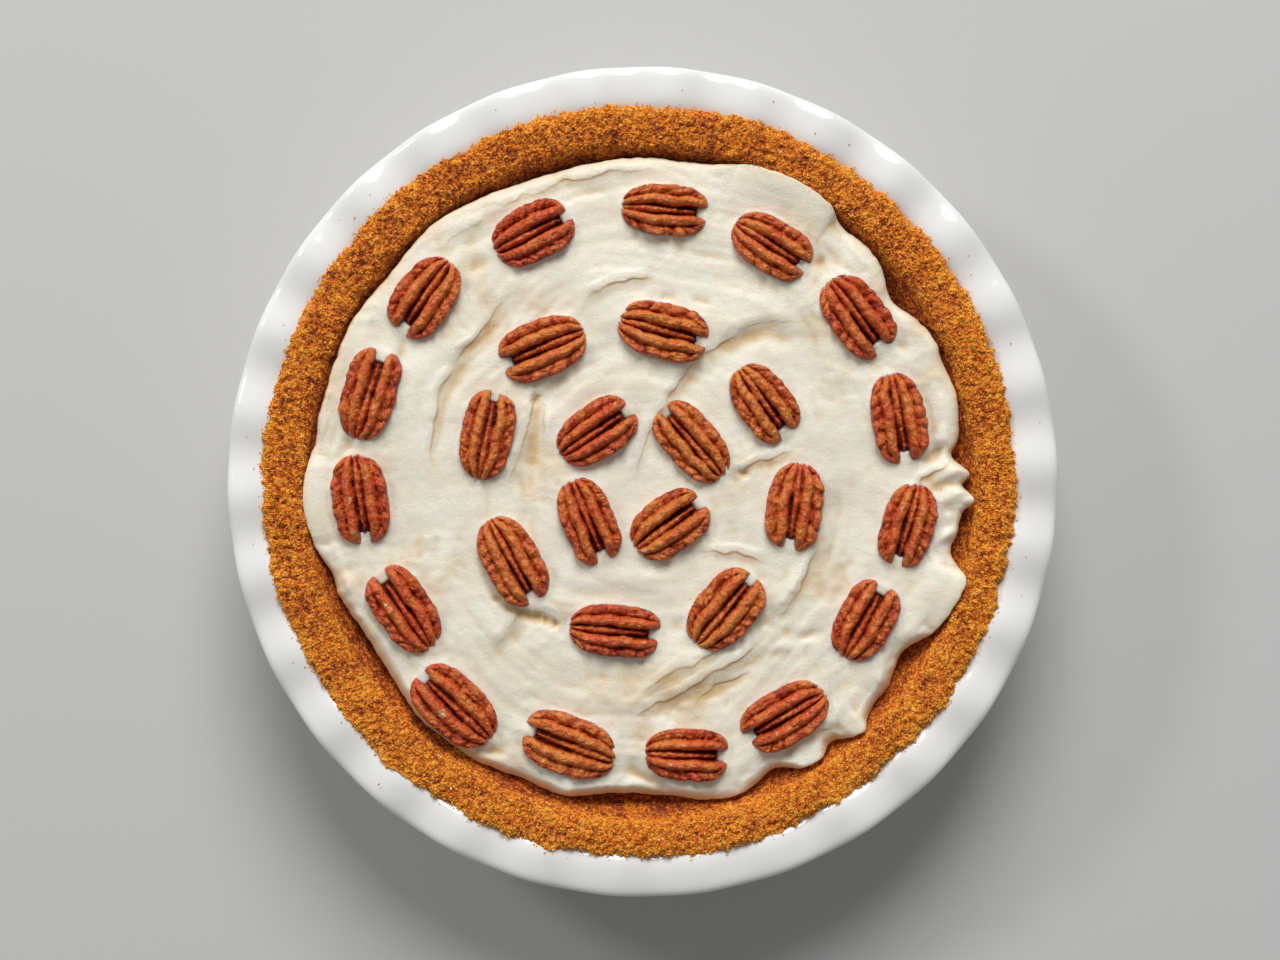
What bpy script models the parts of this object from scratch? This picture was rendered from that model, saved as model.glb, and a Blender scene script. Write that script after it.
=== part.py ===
"""A possum pie in its own round white dish, modelled piece by piece.

The dish has a fluted rim. A crumb crust lines it like a cup, whipped cream fills the crust up to
a spread, folded top, and pecan halves are pressed into the cream in three rings.
Metres, +Z up, origin in the middle of the dish's foot, +X to the right as the pie is looked at.
"""

import math

import bmesh
import bpy
import numpy as np
from mathutils import Vector, geometry, noise

# All sizes below are in millimetres and are turned into metres when a mesh is made.
MM = 0.001
SEGMENTS = 120          # round the dish, crust and cream alike, so their facets run parallel
GAP = 0.3               # between pieces that touch
SLOPE_GAP = 0.5         # the same, measured level or upright, where they meet on a slope

# Dish: a turned profile whose rim rises and falls in flutes.
DISH_RADIUS = 134.0
RIM_CREST_RADIUS = 125.5
RIM_HEIGHT = 48.0
RIM_SHOULDER = (3.0, 1.4)       # out from the wall's top and down from the crest
RIM_LIP_TOP = ((2.6, 0.35), (0.7, 1.2))     # in from the outer edge and down from the crest
RIM_LIP_UNDER = ((4.0, 4.4), (0.0, 2.8))
FLUTES = 30
FLUTE_HEIGHT = 1.0      # up and down from the rim's mean height
FLUTE_PHASE = 2.2       # degrees from +X to the first crest
FLUTE_RADII = (112.0, 121.0)    # the flutes fade in over this stretch
FOOT_RADIUS = 94.0
FOOT_WIDTH = 5.0
FOOT_RECESS = 1.5
FOOT_CURVE = (5.4, 3.2)         # out from the foot and up, where it turns into the wall
FLOOR_HEIGHT = 6.5
WALL_FOOT = (97.0, 9.5)         # radius and height where the inner wall starts
WALL_TOP = (117.3, 43.0)        # and where it turns out into the rim
WALL_THICKNESS = 5.6            # measured level
FLOOR_CURVE = 5.0               # width of the hollow corner between floor and wall

# Crust: pressed crumbs, a little off the dish's centre, with an uneven outer edge.
CRUST_EDGE_RADIUS = 121.1
CRUST_SHIFT = 1.0               # towards -X
CRUST_EDGE_WOBBLE = 1.6
CRUST_TOP = 48.6
CRUST_TOP_WOBBLE = 0.8
CRUST_LUMP = 0.7        # how far clumps of crumbs stand out or lie back, on top
CRUST_SHOULDER = (107.8, 46.0)  # radius and height where the top rolls into the inner wall
CRUST_WALL_SLOPE = 0.5          # millimetres out for each millimetre up
CRUST_FLOOR = 12.3
CRUST_CORNER = (5.0, 3.0)       # width and height of the hollow corner on its floor
CRUST_FOOT_IN = 0.4             # its outer edge stands this far in where it meets the rim
CRUST_BLUNT = 0.9               # height of that outer edge
CRUST_ROWS = (1.6, 5.0)         # in from the edge to the rows of points along its top
CRUST_INNER_ROW = (3.0, 0.3)    # out from the shoulder to the innermost of them, and above the crest

# Cream: degrees from +X and radius of each lobe and notch along its edge, seen at the rim's scale.
SEEN_SCALE = 1.002      # the cream lies about 2 mm lower than the rim, so it is this much larger
CREAM_EDGE = (
    (1.4, 105.5), (4.6, 100.4), (7.4, 102.8), (11, 104.2), (16, 105.3), (22, 104.4), (25.5, 105),
    (30, 103.5), (36, 99.8), (42, 104), (46, 105.1), (52, 104.8), (56, 108), (61, 108.8), (66, 108.9),
    (72, 107.4), (80, 104.5), (90, 105), (100, 104.3), (110, 104.1), (120, 105.8), (130, 107.2),
    (140, 105.9), (149, 107), (155, 107.1), (162, 106.5), (169, 106.8), (173, 106.5), (176, 107.9),
    (182, 109.6), (187, 109.1), (193.5, 106.7), (197, 104.7), (200, 105.3), (204, 103.7), (209, 102.6),
    (218, 102.9), (226, 105.2), (234, 105.3), (239, 105.2), (243, 104.6), (248, 103.8), (252.5, 104.4),
    (256, 104.9), (259, 103.4), (265, 101.3), (271.5, 101.2), (277, 102.8), (280, 104.5), (286.5, 106),
    (291, 104.5), (294.4, 102.2), (299, 105.8), (303, 106.4), (306, 103.9), (309.6, 106.7),
    (311.8, 107.6), (313.5, 105.6), (316.4, 104), (320, 103.6), (322.6, 102.1), (326, 100.7),
    (328.5, 101.7), (332, 105.5), (336.7, 107.7), (340.7, 109), (343.5, 108.3), (345.2, 104.8),
    (348, 101.9), (350.5, 103.2), (354.5, 104.1), (356.9, 107.1), (359.3, 103.7))
CREAM_EDGE_HEIGHT = 42.0
CREAM_UNDERCUT = 0.8    # how far the side leans in below the edge
CREAM_LEVEL = 46.2
CREAM_CROWN = 1.0       # the middle stands this much above the level near the edge
CREAM_ROLL = 5.5        # width of the rounded border
CREAM_CLIMB = 9.0       # how far in the top still rises where the edge climbs the crust
CREAM_WAVE = 0.5        # broad unevenness of the spreading
CREAM_GRID = 6.5        # spacing of the points on top

# Folds left by the spatula: points along the foot of each fold with the high side on the left,
# then height, width of the steep face, and how far the high side runs before it levels out.
FOLDS = (
    (((-66, -4), (-68, 10), (-67, 22), (-63, 34), (-54, 46), (-45, 57), (-36, 69)), 2.4, 1.3, 14.0),
    (((-22, 54), (-14, 62), (-3, 66), (5, 66)), 1.4, 1.2, 8.0),
    (((-44, -5), (-41, 5), (-38, 15), (-36, 24), (-30, 31)), 1.8, 1.3, 10.0),
    (((-2, -5), (-1, 8), (7, 26), (15, 36), (25, 44), (35, 51), (48, 52), (60, 50)), 3.0, 1.6, 12.0),
    (((41, -47), (50, -37), (55, -24), (58, -12)), 2.2, 1.3, 7.0),
    (((-7, -79), (8, -70), (20, -63), (33, -56), (41, -47)), 2.6, 1.6, 9.0),
    (((-50, -58), (-42, -46), (-37, -42), (-24, -46)), 3.0, 1.5, 10.0),
    (((-69, 72), (-45, 89), (-15, 99), (13, 101)), 1.3, 1.2, 4.0),
)

# Pecan halves: middle x and y seen at the rim's scale, degrees from +X to the split end,
# length and width, from the inner ring outward.
PECAN_HEIGHT = 9.0
PECAN_SINK = 4.0        # depth of the seat each one has pressed into the cream
PECANS = (
    (-15, 16, 34, 28, 17.5), (16, 12.5, 131, 30.5, 17), (-17.5, -12.5, 292, 29, 17),
    (8.5, -14, 36, 27.5, 18.5),
    (-50, 15, 79, 29.5, 17), (-32, 43, 202, 29.5, 18.5), (6.5, 48.5, 345, 30, 18),
    (39, 25.5, 306, 27.5, 17.5), (49, -8, 262, 29, 18), (26.5, -41.5, 50, 29.5, 19),
    (-9, -48, 355, 30, 17), (-42, -25.5, 299, 31, 18),
    (-88, 28, 73, 30.5, 17.5), (-70, 59.5, 235, 28.5, 18.5), (-35.5, 80, 27, 28, 18.5),
    (7, 87.5, 355, 28.5, 16.5), (41.5, 76, 328, 28, 17.5), (69, 53.5, 307, 29.5, 18.5),
    (82.5, 20.5, 280, 30, 17.5), (85.5, -14, 254, 28, 17), (71.5, -45, 61, 27.5, 18),
    (46, -75.5, 210, 30.5, 18), (14, -88, 358, 27.5, 17), (-23.5, -85, 160, 32, 19),
    (-60.5, -72.5, 137, 32, 19), (-76.5, -41.5, 125, 30.5, 18), (-91, -5.5, 278, 29.5, 18),
)
PECAN_ROUND_END = 2.6   # how full the outline is at either end; 2 is an ellipse, more is squarer
PECAN_SPLIT_END = 3.6
PECAN_SPLIT = (0.24, 0.27)      # depth of the split and half its width, as shares of half the size
SEAT_CLEARANCE = 0.6    # from a pecan's outline to the corners of its seat
SEAT_WALL = 0.3         # how far the seat's wall leans out
SEAT_CORNERS = 14


# --- shared helpers -----------------------------------------------------------------------------

def smoothstep(value, low, high):
    """Rise smoothly from 0 at low to 1 at high."""
    t = min(max((value - low) / (high - low), 0.0), 1.0)
    return t * t * (3.0 - 2.0 * t)


def round_noise(angle, bumps, seed):
    """Smooth noise of -1 to 1 on a circle, with about this many bumps round it."""
    reach = bumps / math.pi
    return noise.noise(Vector((reach * math.cos(angle), reach * math.sin(angle), seed)))


def ring(radius, height):
    """One loop of points; radius and height are numbers or functions of the angle."""
    loop = []
    for index in range(SEGMENTS):
        angle = 2.0 * math.pi * index / SEGMENTS
        r = radius(angle) if callable(radius) else radius
        z = height(angle) if callable(height) else height
        loop.append((r * math.cos(angle), r * math.sin(angle), z))
    return loop


def material(name, colour, roughness, metallic=0.0):
    """Make a plain material."""
    made = bpy.data.materials.new(name)
    made.use_nodes = True
    shader = made.node_tree.nodes["Principled BSDF"]
    shader.inputs["Base Color"].default_value = (*colour, 1.0)
    shader.inputs["Roughness"].default_value = roughness
    shader.inputs["Metallic"].default_value = metallic
    made.diffuse_color = (*colour, 1.0)
    return made


def add_object(name, body, look):
    """Turn a bmesh in millimetres into a smooth shaded object in metres."""
    bmesh.ops.scale(body, vec=(MM, MM, MM), verts=body.verts)
    mesh = bpy.data.meshes.new(name)
    body.to_mesh(mesh)
    body.free()
    mesh.shade_smooth()
    mesh.set_sharp_from_angle(angle=math.radians(50))
    mesh.materials.append(look)
    made = bpy.data.objects.new(name, mesh)
    bpy.context.collection.objects.link(made)
    return made


def bridge(body, lower, upper):
    """Join two loops of vertices with quads that face away from the axis on the way up."""
    count = len(lower)
    for index in range(count):
        after = (index + 1) % count
        body.faces.new((lower[index], lower[after], upper[after], upper[index]))


def turned_body(rings, bottom, top):
    """Close a stack of loops, from the underside outward, up, over and back in."""
    body = bmesh.new()
    loops = [[body.verts.new(point) for point in loop] for loop in rings]
    for lower, upper in zip(loops, loops[1:]):
        bridge(body, lower, upper)
    first, last = loops[0], loops[-1]
    foot, cap = body.verts.new((0.0, 0.0, bottom)), body.verts.new((0.0, 0.0, top))
    for index in range(SEGMENTS):
        after = (index + 1) % SEGMENTS
        body.faces.new((foot, first[after], first[index]))
        body.faces.new((last[index], last[after], cap))
    return body


# --- dish ---------------------------------------------------------------------------------------

def flute(radius, angle):
    """Rise and fall of the rim."""
    wave = math.cos(FLUTES * (angle - math.radians(FLUTE_PHASE)))
    return FLUTE_HEIGHT * wave * smoothstep(radius, *FLUTE_RADII)


def dish_inside():
    """Radius and height of the dish's upper side, from the floor to the rim's lip."""
    return (
        (WALL_FOOT[0] - FLOOR_CURVE, FLOOR_HEIGHT),
        WALL_FOOT,
        WALL_TOP,
        (WALL_TOP[0] + RIM_SHOULDER[0], RIM_HEIGHT - RIM_SHOULDER[1]),
        (RIM_CREST_RADIUS, RIM_HEIGHT),
    ) + tuple((DISH_RADIUS - inward, RIM_HEIGHT - down) for inward, down in RIM_LIP_TOP)


def dish_outside():
    """Radius and height of the dish's under side, from the foot's recess to the rim's lip."""
    return (
        (FOOT_RADIUS - FOOT_WIDTH - FOOT_RECESS, FOOT_RECESS),
        (FOOT_RADIUS - FOOT_WIDTH, 0.0),
        (FOOT_RADIUS, 0.0),
        (FOOT_RADIUS + FOOT_CURVE[0], FOOT_CURVE[1]),
        (WALL_FOOT[0] + WALL_THICKNESS, WALL_FOOT[1]),
        (WALL_TOP[0] + WALL_THICKNESS, WALL_TOP[1] - 1.0),
    ) + tuple((DISH_RADIUS - inward, RIM_HEIGHT - down) for inward, down in RIM_LIP_UNDER)


def make_dish():
    """Fluted dish: outer wall, rolled rim and inside in one turned body."""
    profile = dish_outside() + tuple(reversed(dish_inside()))
    rings = [ring(r, lambda angle, r=r, z=z: z + flute(r, angle)) for r, z in profile]
    body = turned_body(rings, FOOT_RECESS, FLOOR_HEIGHT)
    add_object("dish", body, material("white_glazed_stoneware", (0.80, 0.79, 0.77), 0.12))


def dish_height(radius, angle):
    """Height of the dish's upper side at a place."""
    radii, heights = zip(*((r, z + flute(r, angle)) for r, z in dish_inside()))
    return float(np.interp(radius, radii, heights))


# --- crust --------------------------------------------------------------------------------------

def crust_edge(angle):
    """Radius of the crust's uneven outer edge, lying on the rim."""
    wobble = 0.6 * round_noise(angle, 45, 3.0) + 0.6 * round_noise(angle, 17, 8.0)
    return CRUST_EDGE_RADIUS - CRUST_SHIFT * math.cos(angle) + CRUST_EDGE_WOBBLE * wobble


def crust_wall(height, angle):
    """Radius of the crust's inner wall."""
    radius, top = CRUST_SHOULDER
    return radius - CRUST_SHIFT * math.cos(angle) + CRUST_WALL_SLOPE * (height - top)


def crust_crest(angle):
    """Height of the crust's uneven top."""
    return CRUST_TOP + CRUST_TOP_WOBBLE * round_noise(angle, 25, 5.0)


def lump(angle, row):
    """How far a clump of crumbs stands out, different in each row of points."""
    return CRUST_LUMP * round_noise(angle, 80, 11.0 + 3.3 * row)


def make_crust():
    """Crumb crust: a cup that follows the dish inside and rolls over onto its rim."""
    shoulder = CRUST_SHOULDER[1]
    corner = CRUST_FLOOR + CRUST_CORNER[1]
    outer_row, top_row = CRUST_ROWS

    def foot(angle):
        return crust_edge(angle) - CRUST_FOOT_IN

    def bend(angle):
        return min(foot(angle) - 2.0 * CRUST_FOOT_IN, WALL_TOP[0] + RIM_SHOULDER[0])

    rings = [
        ring(WALL_FOOT[0] - FLOOR_CURVE, FLOOR_HEIGHT + GAP),
        ring(WALL_FOOT[0] - GAP, WALL_FOOT[1] + GAP),
        ring(WALL_TOP[0] - GAP, WALL_TOP[1] + GAP),
        ring(bend, lambda a: dish_height(bend(a), a) + SLOPE_GAP),
        ring(foot, lambda a: dish_height(foot(a), a) + SLOPE_GAP),
        ring(crust_edge, lambda a: dish_height(foot(a), a) + SLOPE_GAP + CRUST_BLUNT),
        ring(lambda a: crust_edge(a) - outer_row + lump(a, 0),
             lambda a: crust_crest(a) - CRUST_LUMP + lump(a, 1)),
        ring(lambda a: crust_edge(a) - top_row, lambda a: crust_crest(a) + lump(a, 2)),
        ring(lambda a: crust_wall(shoulder, a) + CRUST_INNER_ROW[0] + lump(a, 3),
             lambda a: crust_crest(a) + CRUST_INNER_ROW[1]),
        ring(lambda a: crust_wall(shoulder, a), shoulder),
        ring(lambda a: crust_wall(corner, a), corner),
        ring(lambda a: crust_wall(corner, a) - CRUST_CORNER[0], CRUST_FLOOR),
    ]
    body = turned_body(rings, FLOOR_HEIGHT + GAP, CRUST_FLOOR)
    add_object("crust", body, material("baked_crumb_crust", (0.50, 0.17, 0.035), 0.8))


# --- cream --------------------------------------------------------------------------------------

def cream_edge(angle):
    """Radius of the cream's edge: a smooth closed curve through its lobes and notches."""
    turn, radius = np.array(CREAM_EDGE[-2:] + CREAM_EDGE + CREAM_EDGE[:2]).T
    turn[:2] -= 360.0
    turn[-2:] += 360.0
    slope = np.gradient(radius) / np.gradient(turn)
    place = np.degrees(angle) % 360.0
    start = np.searchsorted(turn, place, side="right") - 1
    span = turn[start + 1] - turn[start]
    part = (place - turn[start]) / span
    level = radius[start] + (radius[start + 1] - radius[start]) * part * part * (3.0 - 2.0 * part)
    lean = span * part * (1.0 - part) * ((1.0 - part) * slope[start] - part * slope[start + 1])
    return (level + lean) * SEEN_SCALE


def smooth_line(points):
    """Run a smooth curve through a fold's points."""
    spots = [Vector((x * SEEN_SCALE, y * SEEN_SCALE, 0.0)) for x, y in points]
    slopes = [spots[min(i + 1, len(spots) - 1)] - spots[max(i - 1, 0)] for i in range(len(spots))]
    line = []
    for i in range(len(spots) - 1):
        line += geometry.interpolate_bezier(
            spots[i], spots[i] + slopes[i] / 6.0, spots[i + 1] - slopes[i + 1] / 6.0, spots[i + 1], 6)[:-1]
    return line + [spots[-1]]


FOLD_LINES = tuple(smooth_line(fold[0]) for fold in FOLDS)


def fold_relief(x, y):
    """Height that the spatula's folds add to the cream."""
    total = 0.0
    place = Vector((x, y, 0.0))
    for line, (_, height, face, reach) in zip(FOLD_LINES, FOLDS):
        nearest, away, along = None, 1.0e9, 0.0
        for index, (start, end) in enumerate(zip(line, line[1:])):
            foot, share = geometry.intersect_point_line(place, start, end)
            share = min(max(share, 0.0), 1.0)
            foot = start.lerp(end, share)
            if (place - foot).length < away:
                nearest, away, along = (start, end), (place - foot).length, index + share
        start, end = nearest
        left = (end - start).cross(place - start).z > 0.0
        side = away if left else -away
        taper = smoothstep(min(along, len(line) - 1 - along), 0.0, 0.3 * len(line))
        step = 0.5 * (1.0 + math.tanh(side / face)) * math.exp(-max(side, 0.0) / reach)
        groove = 0.3 * math.exp(-((side + 1.6 * face) / (2.0 * face)) ** 2)
        total += height * taper * (step - groove)
    return total


def contact_height(angle):
    """Height at which the cream's side meets the crust's inner wall, or the slope above it."""
    out = cream_edge(angle) - CREAM_UNDERCUT + 2.0 * SLOPE_GAP - crust_wall(CRUST_SHOULDER[1], angle)
    rise = crust_crest(angle) + CRUST_INNER_ROW[1] - CRUST_SHOULDER[1]
    top_slope = rise / (CRUST_INNER_ROW[0] + lump(angle, 3))
    return CRUST_SHOULDER[1] + min(out / CRUST_WALL_SLOPE, out * top_slope)


def side_height(angle):
    """Height below that contact, and below the crust's shoulder, from which the cream fills the wall."""
    return min(contact_height(angle), CRUST_SHOULDER[1]) - SLOPE_GAP


def cream_edge_height(angle):
    """Height of the cream's edge: level, but raised where the cream climbs the crust."""
    return max(CREAM_EDGE_HEIGHT, contact_height(angle) + CREAM_UNDERCUT)


def cream_height(x, y):
    """Height of the cream's spread top."""
    radius, angle = math.hypot(x, y), math.atan2(y, x)
    edge, foot = cream_edge(angle), cream_edge_height(angle)
    wave = noise.noise(Vector((x / 38.0, y / 38.0, 1.5)))
    crown = CREAM_CROWN * (1.0 - (radius / edge) ** 2)
    level = CREAM_LEVEL + crown + CREAM_WAVE * wave + fold_relief(x, y)
    level += max(foot + 0.6 - level, 0.0) * math.exp(-((edge - radius) / CREAM_CLIMB) ** 2)
    inward = min(max((edge - radius) / CREAM_ROLL, 0.0), 1.0)
    return foot + (level - foot) * math.sqrt(1.0 - (1.0 - inward) ** 2)


def pecan_place(pecan):
    """Middle, unit vectors along and across, and the tilted plane a pecan sits on."""
    x, y, turn, length, width = pecan
    x, y = x * SEEN_SCALE, y * SEEN_SCALE
    along = Vector((math.cos(math.radians(turn)), math.sin(math.radians(turn))))
    across = Vector((-along.y, along.x))
    ahead, aside = 0.3 * length * along, 0.3 * width * across
    front, back, left, right = (
        cream_height(x + step.x, y + step.y) for step in (ahead, -ahead, aside, -aside))
    height = (front + back + left + right) / 4.0 - PECAN_SINK
    tilt_along = math.atan2(front - back, 2.0 * ahead.length) / 2.0
    tilt_across = math.atan2(left - right, 2.0 * aside.length) / 2.0
    return Vector((x, y)), along, across, height, tilt_along, tilt_across


def pecan_fullness(u):
    """Exponent of a pecan's outline on this side of its middle."""
    return PECAN_SPLIT_END if u > 0.0 else PECAN_ROUND_END


def pecan_outline(length, width, grow):
    """Outline of a pecan half seen from above, its split end squarer than its round end."""
    points = []
    for index in range(SEAT_CORNERS):
        angle = 2.0 * math.pi * (index + 0.5) / SEAT_CORNERS
        u, v = math.cos(angle), math.sin(angle)
        u = math.copysign(abs(u) ** (2.0 / pecan_fullness(u)), u)
        points.append(((0.5 * length + grow) * u, (0.5 * width + grow) * v))
    return points


def inside_any(place, outlines):
    """Tell whether a place lies inside one of the outlines."""
    for middle, along, across, length, width, grow in outlines:
        away = place - middle
        u = away.dot(along) / (0.5 * length + grow)
        v = away.dot(across) / (0.5 * width + grow)
        if abs(u) ** pecan_fullness(u) + v * v < 1.0:
            return True
    return False


def on_cream(spot):
    """Tell whether a place lies on the cream, clear of its edge."""
    return spot.length < cream_edge(math.atan2(spot.y, spot.x)) - 0.35 * CREAM_GRID


def closed_loop(first, count):
    """Edges that join points first, first + 1 and so on into a closed loop."""
    return [(first + index, first + (index + 1) % count) for index in range(count)]


def cream_top_points(edge_loop):
    """Edge, seats and free points of the cream's top, in plan, with their heights."""
    spots = [Vector(point[:2]) for point in edge_loop]
    heights = [point[2] for point in edge_loop]
    lines = closed_loop(0, SEGMENTS)
    rims, rim_loops = [], []
    for pecan in PECANS:
        middle, along, across, floor, tilt_along, tilt_across = pecan_place(pecan)
        lines += closed_loop(len(spots), SEAT_CORNERS)
        for u, v in pecan_outline(pecan[3], pecan[4], SEAT_CLEARANCE):
            spots.append(middle + along * u + across * v)
            heights.append(floor - GAP + u * math.tan(tilt_along) + v * math.tan(tilt_across))
        rims.append((middle, along, across, pecan[3], pecan[4], SEAT_CLEARANCE + SEAT_WALL))
        rim_loops.append([middle + along * u + across * v for u, v in pecan_outline(*rims[-1][3:])])

    # A seat's rim is kept whole as a line where it stands free, and as loose points elsewhere.
    free = []
    for index, loop in enumerate(rim_loops):
        others = rims[:index] + rims[index + 1:]
        strangers = [spot for other in rim_loops if other is not loop for spot in other]
        apart = [spot for spot in loop if on_cream(spot) and not inside_any(spot, others)]
        if len(apart) < len(loop) or any(inside_any(spot, [rims[index]]) for spot in strangers):
            free += apart
        else:
            lines += closed_loop(len(spots), SEAT_CORNERS)
            spots += loop
            heights += [cream_height(spot.x, spot.y) for spot in loop]
    wide_rims = [(*rim[:5], rim[5] + 0.45 * CREAM_GRID) for rim in rims]
    rows = int(2.0 * DISH_RADIUS / (CREAM_GRID * math.sqrt(0.75)))
    for row in range(-rows // 2, rows // 2 + 1):
        for column in range(-rows // 2, rows // 2 + 1):
            spot = Vector((CREAM_GRID * (column + 0.5 * (row % 2)), CREAM_GRID * math.sqrt(0.75) * row))
            if on_cream(spot) and not inside_any(spot, wide_rims):
                free.append(spot)
    spots += free
    heights += [cream_height(spot.x, spot.y) for spot in free]
    return spots, heights, lines


def make_cream():
    """Whipped cream: fills the crust, with a folded top and a seat under each pecan."""
    edge_loop = ring(cream_edge, cream_edge_height)
    spots, heights, lines = cream_top_points(edge_loop)
    plan, _, faces, _, _, _ = geometry.delaunay_2d_cdt(
        spots, lines, [tuple(range(SEGMENTS))], 1, 1.0e-4)

    body = bmesh.new()
    top = [body.verts.new((spot.x, spot.y, height)) for spot, height in zip(plan, heights)]
    for face in faces:
        body.faces.new([top[index] for index in face])

    floor = CRUST_FLOOR + GAP
    corner = CRUST_FLOOR + CRUST_CORNER[1] + GAP
    sides = [
        ring(lambda a: crust_wall(corner, a) - CRUST_CORNER[0] - SLOPE_GAP, floor),
        ring(lambda a: crust_wall(corner, a) - SLOPE_GAP, corner),
        ring(lambda a: crust_wall(side_height(a), a) - SLOPE_GAP, side_height),
        ring(lambda a: cream_edge(a) - CREAM_UNDERCUT, contact_height),
    ]
    loops = [[body.verts.new(point) for point in loop] for loop in sides] + [top[:SEGMENTS]]
    for lower, upper in zip(loops, loops[1:]):
        bridge(body, lower, upper)
    body.faces.new(reversed(loops[0]))
    bmesh.ops.triangulate(body, faces=[face for face in body.faces if len(face.verts) > 4])
    add_object("cream", body, material("whipped_cream", (0.80, 0.73, 0.60), 0.45))


# --- pecans -------------------------------------------------------------------------------------

# Half of a pecan's section from its middle ridge to its edge: share of the half width, and height
# as a share of the whole, on top and below.
PECAN_TOP = ((0.0, 0.80), (0.20, 0.64), (0.42, 1.0), (0.80, 0.80), (1.0, 0.38))
PECAN_BASE_WIDTH = 0.66
PECAN_STATIONS = (-0.97, -0.80, -0.45, 0.0, 0.45, 0.80, 0.985)  # along half the length


def pecan_section(station):
    """One loop round the pecan at a place along its length; u along, v across, w up."""
    swell = math.sqrt(1.0 - abs(station) ** pecan_fullness(station))
    outline = list(reversed(PECAN_TOP))
    outline += [(-v, w) for v, w in PECAN_TOP[1:]]
    outline += [(-PECAN_BASE_WIDTH, 0.0), (0.0, 0.0), (PECAN_BASE_WIDTH, 0.0)]
    depth, half_width = PECAN_SPLIT
    loop = []
    for v, w in outline:
        split = smoothstep(station, 0.45, 0.985) * math.exp(-(v * swell / half_width) ** 4)
        loop.append((station - depth * split, v * swell, w * swell ** 0.7))
    return loop


def make_pecan(name, pecan, look):
    """One pecan half lying in its seat, its ridged back up."""
    middle, along, across, floor, tilt_along, tilt_across = pecan_place(pecan)
    length, width = pecan[3:]
    body = bmesh.new()
    loops = []
    for station in PECAN_STATIONS:
        loop = []
        for u, v, w in pecan_section(station):
            u, v = 0.5 * length * u, 0.5 * width * v
            spot = middle + along * u + across * v
            lift = u * math.tan(tilt_along) + v * math.tan(tilt_across)
            loop.append(body.verts.new((spot.x, spot.y, floor + lift + PECAN_HEIGHT * w)))
        loops.append(loop)
    for lower, upper in zip(loops, loops[1:]):
        bridge(body, lower, upper)
    for loop in (list(reversed(loops[0])), loops[-1]):
        middle_point = sum((vertex.co for vertex in loop), Vector()) / len(loop)
        tip = body.verts.new(middle_point)
        for index, vertex in enumerate(loop):
            body.faces.new((vertex, loop[(index + 1) % len(loop)], tip))
    bmesh.ops.recalc_face_normals(body, faces=body.faces)
    add_object(name, body, look)


def main():
    """Build the whole pie."""
    for old in list(bpy.data.objects):
        bpy.data.objects.remove(old)
    make_dish()
    make_crust()
    make_cream()
    nut = material("pecan_skin", (0.32, 0.07, 0.03), 0.5)
    for number, pecan in enumerate(PECANS, start=1):
        make_pecan(f"pecan_{number:02d}", pecan, nut)


main()
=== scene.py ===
"""The looks of a possum pie in its white stoneware dish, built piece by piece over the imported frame.

Sizes are in millimetres until a mesh is made. The pie stands on z = 0 with its axis up the z axis.
"""
import math

import bpy
import numpy as np
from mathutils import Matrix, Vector, geometry, noise


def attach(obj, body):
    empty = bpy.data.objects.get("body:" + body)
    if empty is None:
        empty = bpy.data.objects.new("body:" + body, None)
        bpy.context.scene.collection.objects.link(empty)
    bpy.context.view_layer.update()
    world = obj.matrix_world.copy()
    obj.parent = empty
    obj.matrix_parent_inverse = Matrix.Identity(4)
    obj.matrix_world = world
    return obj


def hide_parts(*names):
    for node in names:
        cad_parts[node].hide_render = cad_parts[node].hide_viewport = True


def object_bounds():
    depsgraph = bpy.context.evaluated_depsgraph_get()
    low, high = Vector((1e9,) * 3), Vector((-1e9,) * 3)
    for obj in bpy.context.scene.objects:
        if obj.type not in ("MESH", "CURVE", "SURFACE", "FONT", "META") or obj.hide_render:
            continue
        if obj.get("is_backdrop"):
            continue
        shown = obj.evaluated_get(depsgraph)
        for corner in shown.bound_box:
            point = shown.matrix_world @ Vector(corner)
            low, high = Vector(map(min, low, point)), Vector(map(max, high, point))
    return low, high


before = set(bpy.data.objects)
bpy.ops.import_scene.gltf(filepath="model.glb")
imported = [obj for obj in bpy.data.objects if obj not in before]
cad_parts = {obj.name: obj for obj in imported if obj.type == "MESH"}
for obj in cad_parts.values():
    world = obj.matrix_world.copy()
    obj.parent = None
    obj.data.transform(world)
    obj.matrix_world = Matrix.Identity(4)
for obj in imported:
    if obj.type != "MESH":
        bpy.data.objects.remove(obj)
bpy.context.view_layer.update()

rng = np.random.default_rng(27)


# --- Dish -----------------------------------------------------------------------------------------
# A deep pie dish of white stoneware, slip cast in one piece. Its broad rim rises and falls in thirty
# soft flutes. It is dipped in a glossy white glaze and fired standing on a bare foot ring.

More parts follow.
